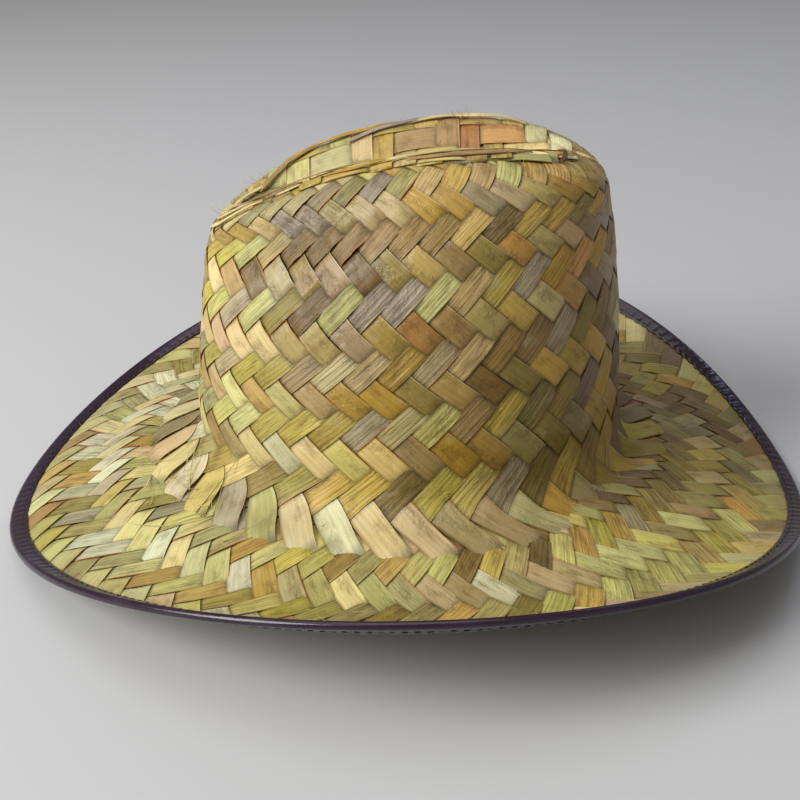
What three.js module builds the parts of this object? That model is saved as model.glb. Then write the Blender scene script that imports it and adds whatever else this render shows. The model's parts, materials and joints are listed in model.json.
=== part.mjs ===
// Straw cowboy hat: a palm-leaf crown and brim with a tape folded over the brim's edge.
// Millimetres, +Z up. The front of the hat faces -Y and the wearer's left is +X.
// It stands on the front and the back of its brim, with the floor at Z = 0.

import * as THREE from 'three';

const strawThickness = 2.4;
const gap = 0.3; // clear distance between neighbouring pieces
const facetsAround = 88; // points in every ring, an even number so that the crease can close
const tapeThickness = 0.8;
const tapeFoldThickness = 2; // at the fold, beyond the straw's cut edge
const tapeFoldShoulder = 2.4; // where the fold's underside starts to round up, from the edge
const tapeFoldRise = 0.97; // how far it rounds up there, which lies level where the hat stands
const tapeOnTop = 9; // width of tape seen from above
const tapeBelow = 11; // width of tape on the underside, where the seam takes it further in
const restFlatDepth = 0.35; // how far the fold is flattened where the hat stands on it

// The woven surface runs from the bottom of the crease, over the ridge, down the wall and out to the
// edge. Each row is one closed ring of it, midway through the straw. The ring passes through
// a point straight ahead of the head (front, frontZ), one behind it (back, backZ) and one on
// each side (side, sideZ), where it is widest at Y = widest. squareEnds and squareSides fill out
// (+) or pinch in (-) the ring's corners, taper makes the front (-) or the back (+) narrower.
// run is the way along the surface, and bands is how many facets the ring is from the one before.
const sectionColumns = [
  'run', 'front', 'frontZ', 'back', 'backZ', 'side', 'sideZ', 'widest', 'squareEnds', 'squareSides',
  'taper', 'bands',
];
const sectionRows = {
  creaseBottom: [0, 40, 93.5, 41, 112.5, 3.5, 113, 0, 0, 0, 0, 0],
  creaseSlope: [16, 55, 97, 55, 119, 13, 121, -1, 1, 0.3, -0.5, 1],
  ridge: [36, 68.5, 101.8, 65, 125.6, 29.5, 129.7, -1.7, 3, 0.5, -1, 2],
  shoulder: [54, 81.6, 96, 79.2, 119.5, 45.6, 122.1, -1.2, 4.5, 1.7, -2, 2],
  upperWall: [77, 86.4, 88, 84.4, 106, 60, 103.9, -1, 1, 0.5, -1, 2],
  middleWall: [118, 91.6, 54, 90.8, 65, 72, 62.5, -0.4, 0, 0, 0, 3],
  lowerWall: [155, 95.2, 20, 94.4, 26, 79, 27.5, -0.4, 0, 0, 0, 2],
  wallFoot: [176, 97, 1.5, 96.4, 4, 83.6, 7, -0.4, 0, 0, 0, 1],
  hatBreak: [184, 100.5, -4, 100, -3, 88, 1.2, -0.4, 0, 0, 0, 1],
  innerBrim: [204, 118, -10, 117.5, -8, 106.5, -3, 2, 1, -1.5, 1, 2],
  middleBrim: [236, 146.5, -21.5, 145.5, -15.5, 138, -4.5, 8, 3, -4, 2.5, 2],
  outerBrim: [262, 170, -32.5, 165.5, -22.5, 162, 4.5, 13, 4.5, -6.5, 3.5, 2],
  edge: [280, 187, -40, 180.5, -28, 175.5, 16.5, 16, 5.3, -7.8, 4, 2],
};

// Dents pressed into the wall by the fingers that crease the hat. azimuth is in degrees from the
// front toward the wearer's left, run is the place on the wall, halfAngle and halfRun are the size
// of the hollow and depth is how far its middle goes in.
const dentColumns = ['azimuth', 'run', 'halfAngle', 'halfRun', 'depth'];
const dentRows = {
  leftPinch: [52, 72, 21, 17, 13],
  rightPinch: [-52, 72, 21, 17, 13],
};
const dentDrawnBack = 0.3; // share of a dent's depth that goes toward the back of the hat

function namedRows(columns, rows) {
  return Object.values(rows).map(
    (row) => Object.fromEntries(columns.map((column, index) => [column, row[index]])),
  );
}

const sections = namedRows(sectionColumns, sectionRows);
const dents = namedRows(dentColumns, dentRows);
const edgeRun = sections.at(-1).run;
const breakRun = 184;

// Slope of one column at a row, as the mean of the slopes on its two sides.
function slopeAt(index, column) {
  const slopeAfter = (k) => (sections[k + 1][column] - sections[k][column])
    / (sections[k + 1].run - sections[k].run);
  const last = sections.length - 1;
  if (index === 0) return slopeAfter(0);
  if (index === last) return slopeAfter(last - 1);
  const before = sections[index].run - sections[index - 1].run;
  const after = sections[index + 1].run - sections[index].run;
  return (slopeAfter(index - 1) * after + slopeAfter(index) * before) / (before + after);
}

// The ring at any run: every column is a smooth cubic through the rows above.
function sectionAt(run) {
  const last = sections.length - 1;
  const found = sections.findLastIndex((section) => section.run <= run);
  const index = Math.min(Math.max(found, 0), last - 1);
  const span = sections[index + 1].run - sections[index].run;
  const t = (run - sections[index].run) / span;
  const ring = {};
  for (const column of sectionColumns) {
    const start = sections[index][column];
    const end = sections[index + 1][column];
    const startSlope = slopeAt(index, column) * span;
    const endSlope = slopeAt(index + 1, column) * span;
    ring[column] = start * (2 * t ** 3 - 3 * t ** 2 + 1) + startSlope * (t ** 3 - 2 * t ** 2 + t)
      + end * (3 * t ** 2 - 2 * t ** 3) + endSlope * (t ** 3 - t ** 2);
  }
  return ring;
}

function dentPush(angle, run) {
  const push = new THREE.Vector3();
  for (const dent of dents) {
    const azimuth = THREE.MathUtils.degToRad(dent.azimuth);
    const away = Math.atan2(Math.sin(angle - azimuth), Math.cos(angle - azimuth));
    const across = THREE.MathUtils.radToDeg(away) / dent.halfAngle;
    const along = (run - dent.run) / dent.halfRun;
    const depth = dent.depth * Math.exp(-0.5 * (across ** 2 + along ** 2));
    push.x -= depth * Math.sin(azimuth);
    push.y += depth * Math.cos(azimuth) * dentDrawnBack;
  }
  return push;
}

// The hat leans until the front and the back of its brim are level.
const edgeSection = sections.at(-1);
const restTilt = Math.atan2(edgeSection.backZ - edgeSection.frontZ, edgeSection.front + edgeSection.back);

// Middle of the straw at an angle round the head (0 at the front, a quarter turn at the left side).
function surfacePoint(angle, run) {
  const ring = sectionAt(run);
  const halfLength = (ring.front + ring.back) / 2 + ring.squareEnds;
  const offCentre = (ring.back - ring.front) / 2;
  const endZ = (ring.frontZ + ring.backZ) / 2;
  const point = new THREE.Vector3(
    (ring.side + ring.squareSides) * Math.sin(angle) + ring.taper * Math.sin(2 * angle)
      + ring.squareSides * Math.sin(3 * angle),
    (offCentre + ring.widest) / 2 - halfLength * Math.cos(angle) + ring.squareEnds * Math.cos(3 * angle)
      + (offCentre - ring.widest) / 2 * Math.cos(2 * angle),
    (endZ + ring.sideZ) / 2 + (ring.frontZ - ring.backZ) / 2 * Math.cos(angle)
      + (endZ - ring.sideZ) / 2 * Math.cos(2 * angle),
  );
  point.add(dentPush(angle, run));
  return point.applyAxisAngle(new THREE.Vector3(1, 0, 0), -restTilt);
}

// Direction out of the crown and up from the brim.
function surfaceNormal(angle, run) {
  const stepAngle = 0.01;
  const stepRun = 0.5;
  const around = surfacePoint(angle + stepAngle, run).sub(surfacePoint(angle - stepAngle, run));
  const outward = surfacePoint(angle, Math.min(run + stepRun, edgeRun))
    .sub(surfacePoint(angle, Math.max(run - stepRun, 0)));
  return outward.cross(around).normalize();
}

// One ring of points at a run, a height above (+) or below (-) the middle of the straw.
function ringOfPoints(run, height) {
  return Array.from({ length: facetsAround }, (_, k) => {
    const angle = k / facetsAround * 2 * Math.PI;
    return surfacePoint(angle, run).addScaledVector(surfaceNormal(angle, run), height);
  });
}

// Runs of all the rings from one run to another, each section's interval in its number of bands.
function ringRuns(from, to) {
  const runs = [from];
  for (let index = 1; index < sections.length; index += 1) {
    const start = sections[index - 1].run;
    const span = sections[index].run - start;
    for (let band = 1; band <= sections[index].bands; band += 1) {
      const run = start + span * band / sections[index].bands;
      if (run > from + gap && run < to - gap) runs.push(run);
    }
  }
  return [...runs, to];
}

function solidFromRings(rings, closesOnItself, slits) {
  const positions = rings.flat().flatMap((point) => point.toArray());
  const faces = [];
  const at = (ring, k) => (ring % rings.length) * facetsAround + (k + facetsAround) % facetsAround;
  const bandCount = closesOnItself ? rings.length : rings.length - 1;
  for (let ring = 0; ring < bandCount; ring += 1) {
    for (let k = 0; k < facetsAround; k += 1) {
      faces.push(at(ring, k), at(ring + 1, k), at(ring + 1, k + 1));
      faces.push(at(ring, k), at(ring + 1, k + 1), at(ring, k + 1));
    }
  }
  // A slit is a long thin ring closed across from the left side to the right side.
  for (const { ring, facesUp } of slits) {
    for (let k = 0; k < facetsAround / 2; k += 1) {
      const square = [at(ring, k), at(ring, k + 1), at(ring, -k - 1), at(ring, -k)];
      const [a, b, c, d] = facesUp ? square : square.reverse();
      if (a !== b && b !== c && a !== c) faces.push(a, b, c);
      if (a !== c && c !== d && a !== d) faces.push(a, c, d);
    }
  }
  const geometry = new THREE.BufferGeometry();
  geometry.setAttribute('position', new THREE.Float32BufferAttribute(positions, 3));
  geometry.setIndex(faces);
  return geometry;
}

// Crown: down the outside of the straw, round its lower edge and up the inside.
function crownGeometry() {
  const runs = ringRuns(0, breakRun - gap / 2);
  const outside = runs.map((run) => ringOfPoints(run, strawThickness / 2));
  const inside = runs.map((run) => ringOfPoints(run, -strawThickness / 2)).reverse();
  const rings = [...outside, ...inside];
  const slits = [{ ring: 0, facesUp: true }, { ring: rings.length - 1, facesUp: false }];
  return solidFromRings(rings, false, slits);
}

const tapeInside = strawThickness / 2 + gap; // height of the tape's inner face
const tapeOutside = tapeInside + tapeThickness;
const brimEndRun = edgeRun - tapeFoldThickness - gap;

function brimGeometry() {
  const runs = ringRuns(breakRun + gap / 2, brimEndRun);
  const top = runs.map((run) => ringOfPoints(run, strawThickness / 2));
  const underside = runs.map((run) => ringOfPoints(run, -strawThickness / 2)).reverse();
  return solidFromRings([...top, ...underside], true, []);
}

// Tape: the outline of its folded section, a row for each corner.
const tapeCorners = [
  { fromEdge: tapeOnTop, height: tapeInside },
  { fromEdge: tapeOnTop, height: tapeOutside },
  { fromEdge: tapeFoldShoulder / 2, height: tapeOutside },
  { fromEdge: 0, height: tapeInside / 2 },
  { fromEdge: 0, height: tapeFoldRise - tapeOutside },
  { fromEdge: tapeFoldShoulder, height: -tapeOutside },
  { fromEdge: tapeBelow, height: -tapeOutside },
  { fromEdge: tapeBelow, height: -tapeInside },
  { fromEdge: tapeFoldThickness, height: -tapeInside },
  { fromEdge: tapeFoldThickness, height: tapeInside },
];

function tapeGeometry() {
  const rings = tapeCorners.map((corner) => ringOfPoints(edgeRun - corner.fromEdge, corner.height));
  return solidFromRings(rings, true, []);
}

// The fold is flattened a little where the hat stands on it, so that both ends lie on the floor.
function flattenBelow(geometry, floor) {
  const position = geometry.getAttribute('position');
  for (let k = 0; k < position.count; k += 1) {
    if (position.getZ(k) < floor) position.setZ(k, floor);
  }
}

function bounds(geometry) {
  return new THREE.Box3().setFromBufferAttribute(geometry.getAttribute('position'));
}

function piece(name, geometry, material) {
  geometry.computeVertexNormals();
  const mesh = new THREE.Mesh(geometry, material);
  mesh.name = name;
  return mesh;
}

const straw = { color: 0xb0a052, roughness: 0.72, metalness: 0 };
const vinyl = { color: 0x33262f, roughness: 0.38, metalness: 0 };

const tape = tapeGeometry();
const floor = bounds(tape).min.z + restFlatDepth;
flattenBelow(tape, floor);
const middleY = (bounds(tape).min.y + bounds(tape).max.y) / 2;

const hat = new THREE.Group();
hat.add(piece('crown', crownGeometry(), new THREE.MeshStandardMaterial(straw)));
hat.add(piece('brim', brimGeometry(), new THREE.MeshStandardMaterial(straw)));
hat.add(piece('edge_binding', tape, new THREE.MeshStandardMaterial(vinyl)));
hat.position.set(0, -middleY, -floor);

export default hat;
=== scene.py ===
"""Straw cowboy hat: a crown and brim plaited from palm-leaf strips, with a sewn tape round the edge.

The tables give millimetres and degrees, and the meshes are in metres, in the frame of the solids.
Azimuth 0 is the front of the hat (-Y) and 90 is the wearer's left (+X). Run is the way along the
woven surface, from the bottom of the crease over the ridge, down the wall and out to the edge.
"""
import json
import logging
import math
from collections.abc import Sequence
from dataclasses import dataclass, field
from enum import Enum

import bpy
import numpy as np
from mathutils import Matrix, Vector
from mathutils.bvhtree import BVHTree

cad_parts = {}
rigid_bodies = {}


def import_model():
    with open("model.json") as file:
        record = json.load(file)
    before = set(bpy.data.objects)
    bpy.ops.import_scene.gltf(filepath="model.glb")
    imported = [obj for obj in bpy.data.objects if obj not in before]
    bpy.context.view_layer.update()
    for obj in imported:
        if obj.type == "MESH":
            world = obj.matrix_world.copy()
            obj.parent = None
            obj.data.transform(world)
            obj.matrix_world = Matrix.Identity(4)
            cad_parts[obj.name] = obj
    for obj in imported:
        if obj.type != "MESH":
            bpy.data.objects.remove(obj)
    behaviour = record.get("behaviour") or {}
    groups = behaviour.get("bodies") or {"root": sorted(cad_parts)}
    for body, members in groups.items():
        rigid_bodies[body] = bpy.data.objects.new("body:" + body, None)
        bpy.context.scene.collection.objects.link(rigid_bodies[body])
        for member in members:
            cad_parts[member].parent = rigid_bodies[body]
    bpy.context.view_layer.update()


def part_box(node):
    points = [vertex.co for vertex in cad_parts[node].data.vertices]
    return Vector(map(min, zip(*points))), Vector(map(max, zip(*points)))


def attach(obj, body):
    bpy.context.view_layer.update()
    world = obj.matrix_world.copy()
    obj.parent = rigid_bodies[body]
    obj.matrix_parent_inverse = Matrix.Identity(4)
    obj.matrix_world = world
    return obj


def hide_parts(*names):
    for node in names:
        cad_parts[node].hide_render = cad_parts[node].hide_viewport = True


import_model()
LOG = logging.getLogger("straw_hat")
MM = 0.001
BODY = "root"

SECTION_COLUMNS = (
    "run", "front", "front_z", "back", "back_z", "side", "side_z",
    "widest", "square_ends", "square_sides", "taper",
)
SECTION_ROWS = {
    "crease_bottom": (0, 40, 93.5, 41, 112.5, 3.5, 113, 0, 0, 0, 0),
    "crease_slope": (16, 55, 97, 55, 119, 13, 121, -1, 1, 0.3, -0.5),
    "ridge": (36, 68.5, 101.8, 65, 125.6, 29.5, 129.7, -1.7, 3, 0.5, -1),
    "shoulder": (54, 81.6, 96, 79.2, 119.5, 45.6, 122.1, -1.2, 4.5, 1.7, -2),
    "upper_wall": (77, 86.4, 88, 84.4, 106, 60, 103.9, -1, 1, 0.5, -1),
    "middle_wall": (118, 91.6, 54, 90.8, 65, 72, 62.5, -0.4, 0, 0, 0),
    "lower_wall": (155, 95.2, 20, 94.4, 26, 79, 27.5, -0.4, 0, 0, 0),
    "wall_foot": (176, 97, 1.5, 96.4, 4, 83.6, 7, -0.4, 0, 0, 0),
    "hat_break": (184, 100.5, -4, 100, -3, 88, 1.2, -0.4, 0, 0, 0),
    "inner_brim": (204, 118, -10, 117.5, -8, 106.5, -3, 2, 1, -1.5, 1),
    "middle_brim": (236, 146.5, -21.5, 145.5, -15.5, 138, -4.5, 8, 3, -4, 2.5),
    "outer_brim": (262, 170, -32.5, 165.5, -22.5, 162, 4.5, 13, 4.5, -6.5, 3.5),
    "edge": (280, 187, -40, 180.5, -28, 175.5, 16.5, 16, 5.3, -7.8, 4),
}
DENT_COLUMNS = ("azimuth", "run", "half_angle", "half_run", "depth")
DENT_ROWS = {"left_pinch": (52, 72, 21, 17, 13), "right_pinch": (-52, 72, 21, 17, 13)}
WRINKLE_ROWS = {"left_wrinkles": (66, 84, 17, 24, 1), "right_wrinkles": (-66, 84, 17, 24, 1)}
DENT_DRAWN_BACK = 0.3
HALF_STRAW = 1.2
BACK_FOOT_AZIMUTH, BACK_FOOT_HALF_ANGLE = 142, 17
BACK_FOOT_FROM, BACK_FOOT_TO = (182, 189), (216, 204)
RUN_STEP = 0.5
TURN_STEPS = 360
TWILL_ROUND = 4
TOP_PHASE = 0.5
STEEPNESS = 2.3
NEAR_MIDDLE = 1


def smooth_step(low: float, high: float, value: np.ndarray) -> np.ndarray:
    """Rises smoothly from 0 at low to 1 at high.

    Args:
        low: Where the rise starts.
        high: Where the rise ends.
        value: Places to read.

    Returns:
        The share at each place.
    """
    t = np.clip((np.asarray(value, float) - low) / (high - low), 0, 1)
    return t * t * (3 - 2 * t)


def unit(vectors: np.ndarray) -> np.ndarray:
    """Gives vectors the length one."""
    return vectors / np.linalg.norm(vectors, axis=-1, keepdims=True)


def linear_colour(red: float, green: float, blue: float) -> tuple[float, float, float]:
    """Turns a colour of 0 to 255 a channel, as a screen shows it, into scene-linear numbers.

    Args:
        red: Red, 0 to 255.
        green: Green, 0 to 255.
        blue: Blue, 0 to 255.

    Returns:
        The three linear channels.
    """
    channels = (c / 255 for c in (red, green, blue))
    return tuple(c / 12.92 if c <= 0.04045 else ((c + 0.055) / 1.055) ** 2.4 for c in channels)


@dataclass
class HatForm:
    """The middle of the straw as a smooth surface, set down where the solids stand."""

    shift: np.ndarray = field(default_factory=lambda: np.zeros(3))
    rows: np.ndarray = field(default_factory=lambda: np.array(list(SECTION_ROWS.values()), float))

    def __post_init__(self) -> None:
        """Works out the lean of the resting hat and the slopes of the section table."""
        edge = dict(zip(SECTION_COLUMNS, self.rows[-1]))
        self.lean = math.atan2(edge["back_z"] - edge["front_z"], edge["front"] + edge["back"])
        self.edge_run = edge["run"]
        step = np.diff(self.rows[:, 0])
        slope = np.diff(self.rows, axis=0) / step[:, None]
        inner = (slope[:-1] * step[1:, None] + slope[1:] * step[:-1, None]) / (step[:-1] + step[1:])[:, None]
        self.slopes = np.vstack([slope[:1], inner, slope[-1:]])

    def section(self, run: np.ndarray) -> dict[str, np.ndarray]:
        """Reads every column of the section table at some runs.

        Args:
            run: Places along the surface.

        Returns:
            The columns by name.
        """
        starts = self.rows[:, 0]
        k = np.clip(np.searchsorted(starts, run, side="right") - 1, 0, len(starts) - 2)
        span = (starts[k + 1] - starts[k])[..., None]
        t = ((run - starts[k])[..., None]) / span
        value = (
            self.rows[k] * (2 * t**3 - 3 * t**2 + 1) + self.slopes[k] * span * (t**3 - 2 * t**2 + t)
            + self.rows[k + 1] * (3 * t**2 - 2 * t**3) + self.slopes[k + 1] * span * (t**3 - t**2)
        )
        return {name: value[..., index] for index, name in enumerate(SECTION_COLUMNS)}

    def lean_over(self, point: np.ndarray) -> np.ndarray:
        """Turns points or directions about X from the upright form to the resting hat."""
        y, z, c, s = point[..., 1], point[..., 2], math.cos(self.lean), math.sin(self.lean)
        return np.stack([point[..., 0], y * c + z * s, z * c - y * s], -1)

    def point(self, angle: np.ndarray, run: np.ndarray) -> np.ndarray:
        """Gives the middle of the straw.

        Args:
            angle: Angles round the head, in radians from the front.
            run: Places along the surface, of the same shape.

        Returns:
            Points in millimetres in the frame of the solids, with a last axis of three.
        """
        ring = self.section(run)
        half_length = (ring["front"] + ring["back"]) / 2 + ring["square_ends"]
        off_centre = (ring["back"] - ring["front"]) / 2
        end_z = (ring["front_z"] + ring["back_z"]) / 2
        x = (
            (ring["side"] + ring["square_sides"]) * np.sin(angle) + ring["taper"] * np.sin(2 * angle)
            + ring["square_sides"] * np.sin(3 * angle)
        )
        y = (
            (off_centre + ring["widest"]) / 2 - half_length * np.cos(angle)
            + ring["square_ends"] * np.cos(3 * angle) + (off_centre - ring["widest"]) / 2 * np.cos(2 * angle)
        )
        z = (
            (end_z + ring["side_z"]) / 2 + (ring["front_z"] - ring["back_z"]) / 2 * np.cos(angle)
            + (end_z - ring["side_z"]) / 2 * np.cos(2 * angle)
        )
        for row in DENT_ROWS.values():
            dent = dict(zip(DENT_COLUMNS, row))
            azimuth = math.radians(dent["azimuth"])
            push = dent["depth"] * self.dent_share(dent, angle, run)
            x = x - push * math.sin(azimuth)
            y = y + push * math.cos(azimuth) * DENT_DRAWN_BACK
        return self.lean_over(np.stack([x, y, z], -1)) + self.shift

    def dent_share(self, dent: dict[str, float], angle: np.ndarray, run: np.ndarray) -> np.ndarray:
        """Gives how near places are to the middle of a dent.

        Args:
            dent: Its row of the table, by column.
            angle: Angles round the head, in radians from the front.
            run: Places along the surface, of the same shape.

        Returns:
            1 at the middle, falling to 0 away from it.
        """
        azimuth = math.radians(dent["azimuth"])
        away = np.arctan2(np.sin(angle - azimuth), np.cos(angle - azimuth))
        across, along = np.degrees(away) / dent["half_angle"], (run - dent["run"]) / dent["half_run"]
        return np.exp(-0.5 * (across**2 + along**2))

    def wrinkled(self, angle: np.ndarray, run: np.ndarray) -> np.ndarray:
        """Gives how much the straw is wrinkled by the pinches, from 0 to 1."""
        return sum(self.dent_share(dict(zip(DENT_COLUMNS, row)), angle, run) for row in WRINKLE_ROWS.values())

    def normal(self, angle: np.ndarray, run: np.ndarray) -> np.ndarray:
        """Gives the direction out of the crown and up from the brim.

        Args:
            angle: Angles round the head, in radians from the front.
            run: Places along the surface, of the same shape.

        Returns:
            Unit vectors with a last axis of three.
        """
        small_angle, small_run = 0.01, 0.5
        around = self.point(angle + small_angle, run) - self.point(angle - small_angle, run)
        after = self.point(angle, np.minimum(run + small_run, self.edge_run))
        outward = after - self.point(angle, np.maximum(run - small_run, 0))
        return unit(np.cross(outward, around))

    def set_down(self) -> None:
        """Moves the form to where the solid crown stands."""
        angle, run = np.meshgrid(np.linspace(0, 2 * np.pi, 89), np.linspace(20, 184, 100))
        skin = self.point(angle, run) + self.normal(angle, run) * HALF_STRAW
        low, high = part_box("crown")
        middle = (skin[..., 1].max() + skin[..., 1].min()) / 2
        self.shift = np.array([0, (low.y + high.y) / 2 / MM - middle, high.z / MM - skin[..., 2].max()])


@dataclass(frozen=True)
class MeshData:
    """Vertices, faces and per-vertex values of one piece, before it becomes an object."""

    vertices: np.ndarray
    quads: np.ndarray
    caps: list[list[int]]
    uv: np.ndarray
    colour: np.ndarray
    traits: np.ndarray
    corner: np.ndarray


def tube_quads(number: np.ndarray) -> np.ndarray:
    """Joins the points along and round a tube into four-sided faces.

    Args:
        number: Numbers of the points, with the last two axes along the tube and round it.

    Returns:
        The faces, a row for each.
    """
    after = np.roll(number, -1, axis=-1)
    corners = (number[..., :-1, :], number[..., 1:, :], after[..., 1:, :], after[..., :-1, :])
    return np.stack(corners, -1).reshape(-1, 4)


def store_colour(mesh: bpy.types.Mesh, name: str, values: np.ndarray) -> None:
    """Stores three numbers for each point as a colour attribute.

    Args:
        mesh: The mesh.
        name: Name of the attribute.
        values: A row for each point.
    """
    full = np.hstack([values, np.ones((len(values), 1))]).astype(np.float32)
    mesh.attributes.new(name, "FLOAT_COLOR", "POINT").data.foreach_set("color", full.ravel())


def join_meshes(parts: Sequence[MeshData]) -> MeshData:
    """Puts several meshes into one.

    Args:
        parts: The meshes, in order.

    Returns:
        One mesh with all of their vertices and faces.
    """
    starts = np.cumsum([0] + [len(part.vertices) for part in parts])
    return MeshData(
        np.vstack([part.vertices for part in parts]),
        np.vstack([part.quads + start for part, start in zip(parts, starts)]),
        [[v + int(start) for v in cap] for part, start in zip(parts, starts) for cap in part.caps],
        np.vstack([part.uv for part in parts]),
        np.vstack([part.colour for part in parts]),
        np.vstack([part.traits for part in parts]),
        np.concatenate([part.corner for part in parts]),
    )


def build_object(name: str, data: MeshData, material: bpy.types.Material) -> bpy.types.Object:
    """Makes a Blender object at the origin from mesh data in millimetres.

    Args:
        name: Name of the piece.
        data: Its mesh.
        material: Its finish.

    Returns:
        The object, linked to the scene.
    """
    mesh = bpy.data.meshes.new(name)
    points = data.vertices * MM
    points[:, 2] = np.maximum(points[:, 2], 0)
    mesh.from_pydata(points.tolist(), [], data.quads.tolist() + data.caps)
    mesh.update(calc_edges=True)
    loops = np.zeros(len(mesh.loops), np.int32)
    mesh.loops.foreach_get("vertex_index", loops)
    uv_map = mesh.uv_layers.new(name="strip")
    uv_map.data.foreach_set("uv", data.uv[loops].astype(np.float32).ravel())
    store_colour(mesh, "tone", data.colour)
    store_colour(mesh, "traits", data.traits)
    edges = np.zeros(len(mesh.edges) * 2, np.int32)
    mesh.edges.foreach_get("vertices", edges)
    ends = data.corner[edges.reshape(-1, 2)]
    sharp = (ends[:, 0] == ends[:, 1]) & (ends[:, 0] > 0)
    mesh.attributes.new("sharp_edge", "BOOLEAN", "EDGE").data.foreach_set("value", sharp)
    mesh.polygons.foreach_set("use_smooth", np.ones(len(mesh.polygons), bool))
    mesh.materials.append(material)
    obj = bpy.data.objects.new(name, mesh)
    bpy.context.scene.collection.objects.link(obj)
    return obj


class Lay(Enum):
    """Which way a strip goes as it comes down the hat: against the angle or with it."""

    RISING = -1
    FALLING = 1


TONES = {
    # The palest tone is partly the leaf's own pale colour and partly painted highlight on lit strips.
    "pale_highlight": (224, 230, 198),
    "cream": (228, 210, 148),
    "pale_green": (202, 202, 122),
    "lime": (190, 178, 66),
    "mustard": (190, 156, 64),
    "golden": (186, 146, 36),
    "olive": (140, 124, 56),
    "grey_green": (158, 154, 106),
    # A grey lavender that paints the bluish sheen of glossy floats into the tone.
    "lavender_sheen": (164, 150, 138),
    "tan": (174, 140, 86),
    "brown": (100, 68, 28),
    "pink": (214, 180, 144),
    "orange": (212, 150, 72),
    "rust": (168, 98, 58),
}
TONE_NAMES = tuple(TONES)
PLACE_COLUMNS = ("azimuth", "run", "half_angle", "half_run", "lay")
# Where a place leans to paler or darker tones, this partly paints light and shade, as marked below.
TONE_PLACES: dict[str, tuple[tuple[float | Lay | None, ...], dict[str, float]]] = {
    # Front of the crown: pale tones, partly painted light from the front.
    "front_falling": ((14, 120, 28, 60, Lay.FALLING), {
        "cream": 3, "pink": 2, "tan": 2.5, "mustard": 3, "pale_green": 1.5}),
    "front_rising": ((14, 120, 28, 60, Lay.RISING), {
        "pale_green": 4, "lime": 3, "grey_green": 2, "mustard": 1.5, "cream": 1.5}),
    "middle_falling": ((82, 120, 24, 46, Lay.FALLING), {
        "mustard": 4.5, "golden": 2.5, "tan": 2.5, "olive": 2, "brown": 1.2, "grey_green": 1.5,
        "cream": 1, "orange": 0.4}),
    "middle_rising": ((82, 120, 24, 46, Lay.RISING), {
        "lavender_sheen": 3, "mustard": 2.5, "pale_green": 1.5, "tan": 2, "lime": 1.5, "brown": 1.5, "cream": 1}),
    # Pinches: brown tones partly paint the shade in the crumpled folds, and grey lavender their sheen.
    "wrinkles": ((64, 80, 16, 24, None), {
        "brown": 4, "lavender_sheen": 4, "tan": 3, "olive": 1, "mustard": 1}),
    # Upper back of the crown: paler and golden, partly painted light from above.
    "back_upper": ((138, 74, 24, 23, None), {
        "mustard": 4.5, "golden": 3, "olive": 2.5, "lavender_sheen": 2.5, "grey_green": 1.5, "tan": 1.5,
        "brown": 1.6, "orange": 0.5}),
    # Lower back of the crown: mostly brown, partly the leaf's tone and partly painted shade.
    "back_falling": ((146, 146, 26, 34, Lay.FALLING), {
        "brown": 7, "golden": 3.5, "olive": 1, "tan": 0.8}),
    "back_rising": ((142, 150, 26, 34, Lay.RISING), {
        "brown": 7, "olive": 2, "golden": 1.5, "lavender_sheen": 0.8}),
    "top": ((90, 30, 90, 16, None), {
        "mustard": 3, "cream": 4.5, "tan": 2, "pale_green": 2.5, "lavender_sheen": 1.5, "pale_highlight": 1,
        "orange": 0.5, "rust": 0.2}),
    "foot_rising": ((64, 172, 40, 12, Lay.RISING), {
        "lime": 3.5, "olive": 3.5, "mustard": 2, "pale_green": 1, "brown": 1.5}),
    "break_falling": ((62, 200, 40, 11, Lay.FALLING), {
        "cream": 5, "lavender_sheen": 3, "pink": 2.5, "pale_green": 2, "grey_green": 1}),
    # Browner where the brim meets the back of the crown: partly painted shadow cast by the crown.
    "far_break": ((138, 206, 24, 22, None), {
        "olive": 4, "brown": 6, "tan": 1, "golden": 1.5}),
    "brim_falling": ((90, 245, 42, 26, Lay.FALLING), {
        "cream": 3, "grey_green": 3, "pale_green": 2.5, "pink": 1.5, "mustard": 1.5, "tan": 1}),
    "brim_rising": ((90, 240, 42, 26, Lay.RISING), {
        "olive": 3, "lime": 4, "mustard": 2, "pale_green": 1, "orange": 0.9, "brown": 0.7}),
    # Paler greens here partly paint the light that falls on this part of the brim.
    "back_near_brim": ((122, 250, 21, 26, None), {
        "pale_green": 5, "lime": 3.5, "pale_highlight": 1.5, "cream": 1, "grey_green": 1.5, "olive": 1}),
    # Front brim: pale greens, the palest partly painted highlights where light falls on the brim.
    "front_brim": ((0, 235, 45, 45, None), {
        "pale_highlight": 4.5, "pale_green": 4, "grey_green": 3, "cream": 2, "lime": 1.5, "olive": 1,
        "lavender_sheen": 1, "brown": 1, "orange": 0.3, "rust": 0.2}),
    # Back brim: olive and brown, partly the leaf's tones and partly painted shade.
    "back_brim": ((175, 240, 50, 45, None), {
        "olive": 5, "brown": 5, "mustard": 1.5, "grey_green": 2, "lime": 1, "tan": 1, "rust": 0.2}),
}


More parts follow.
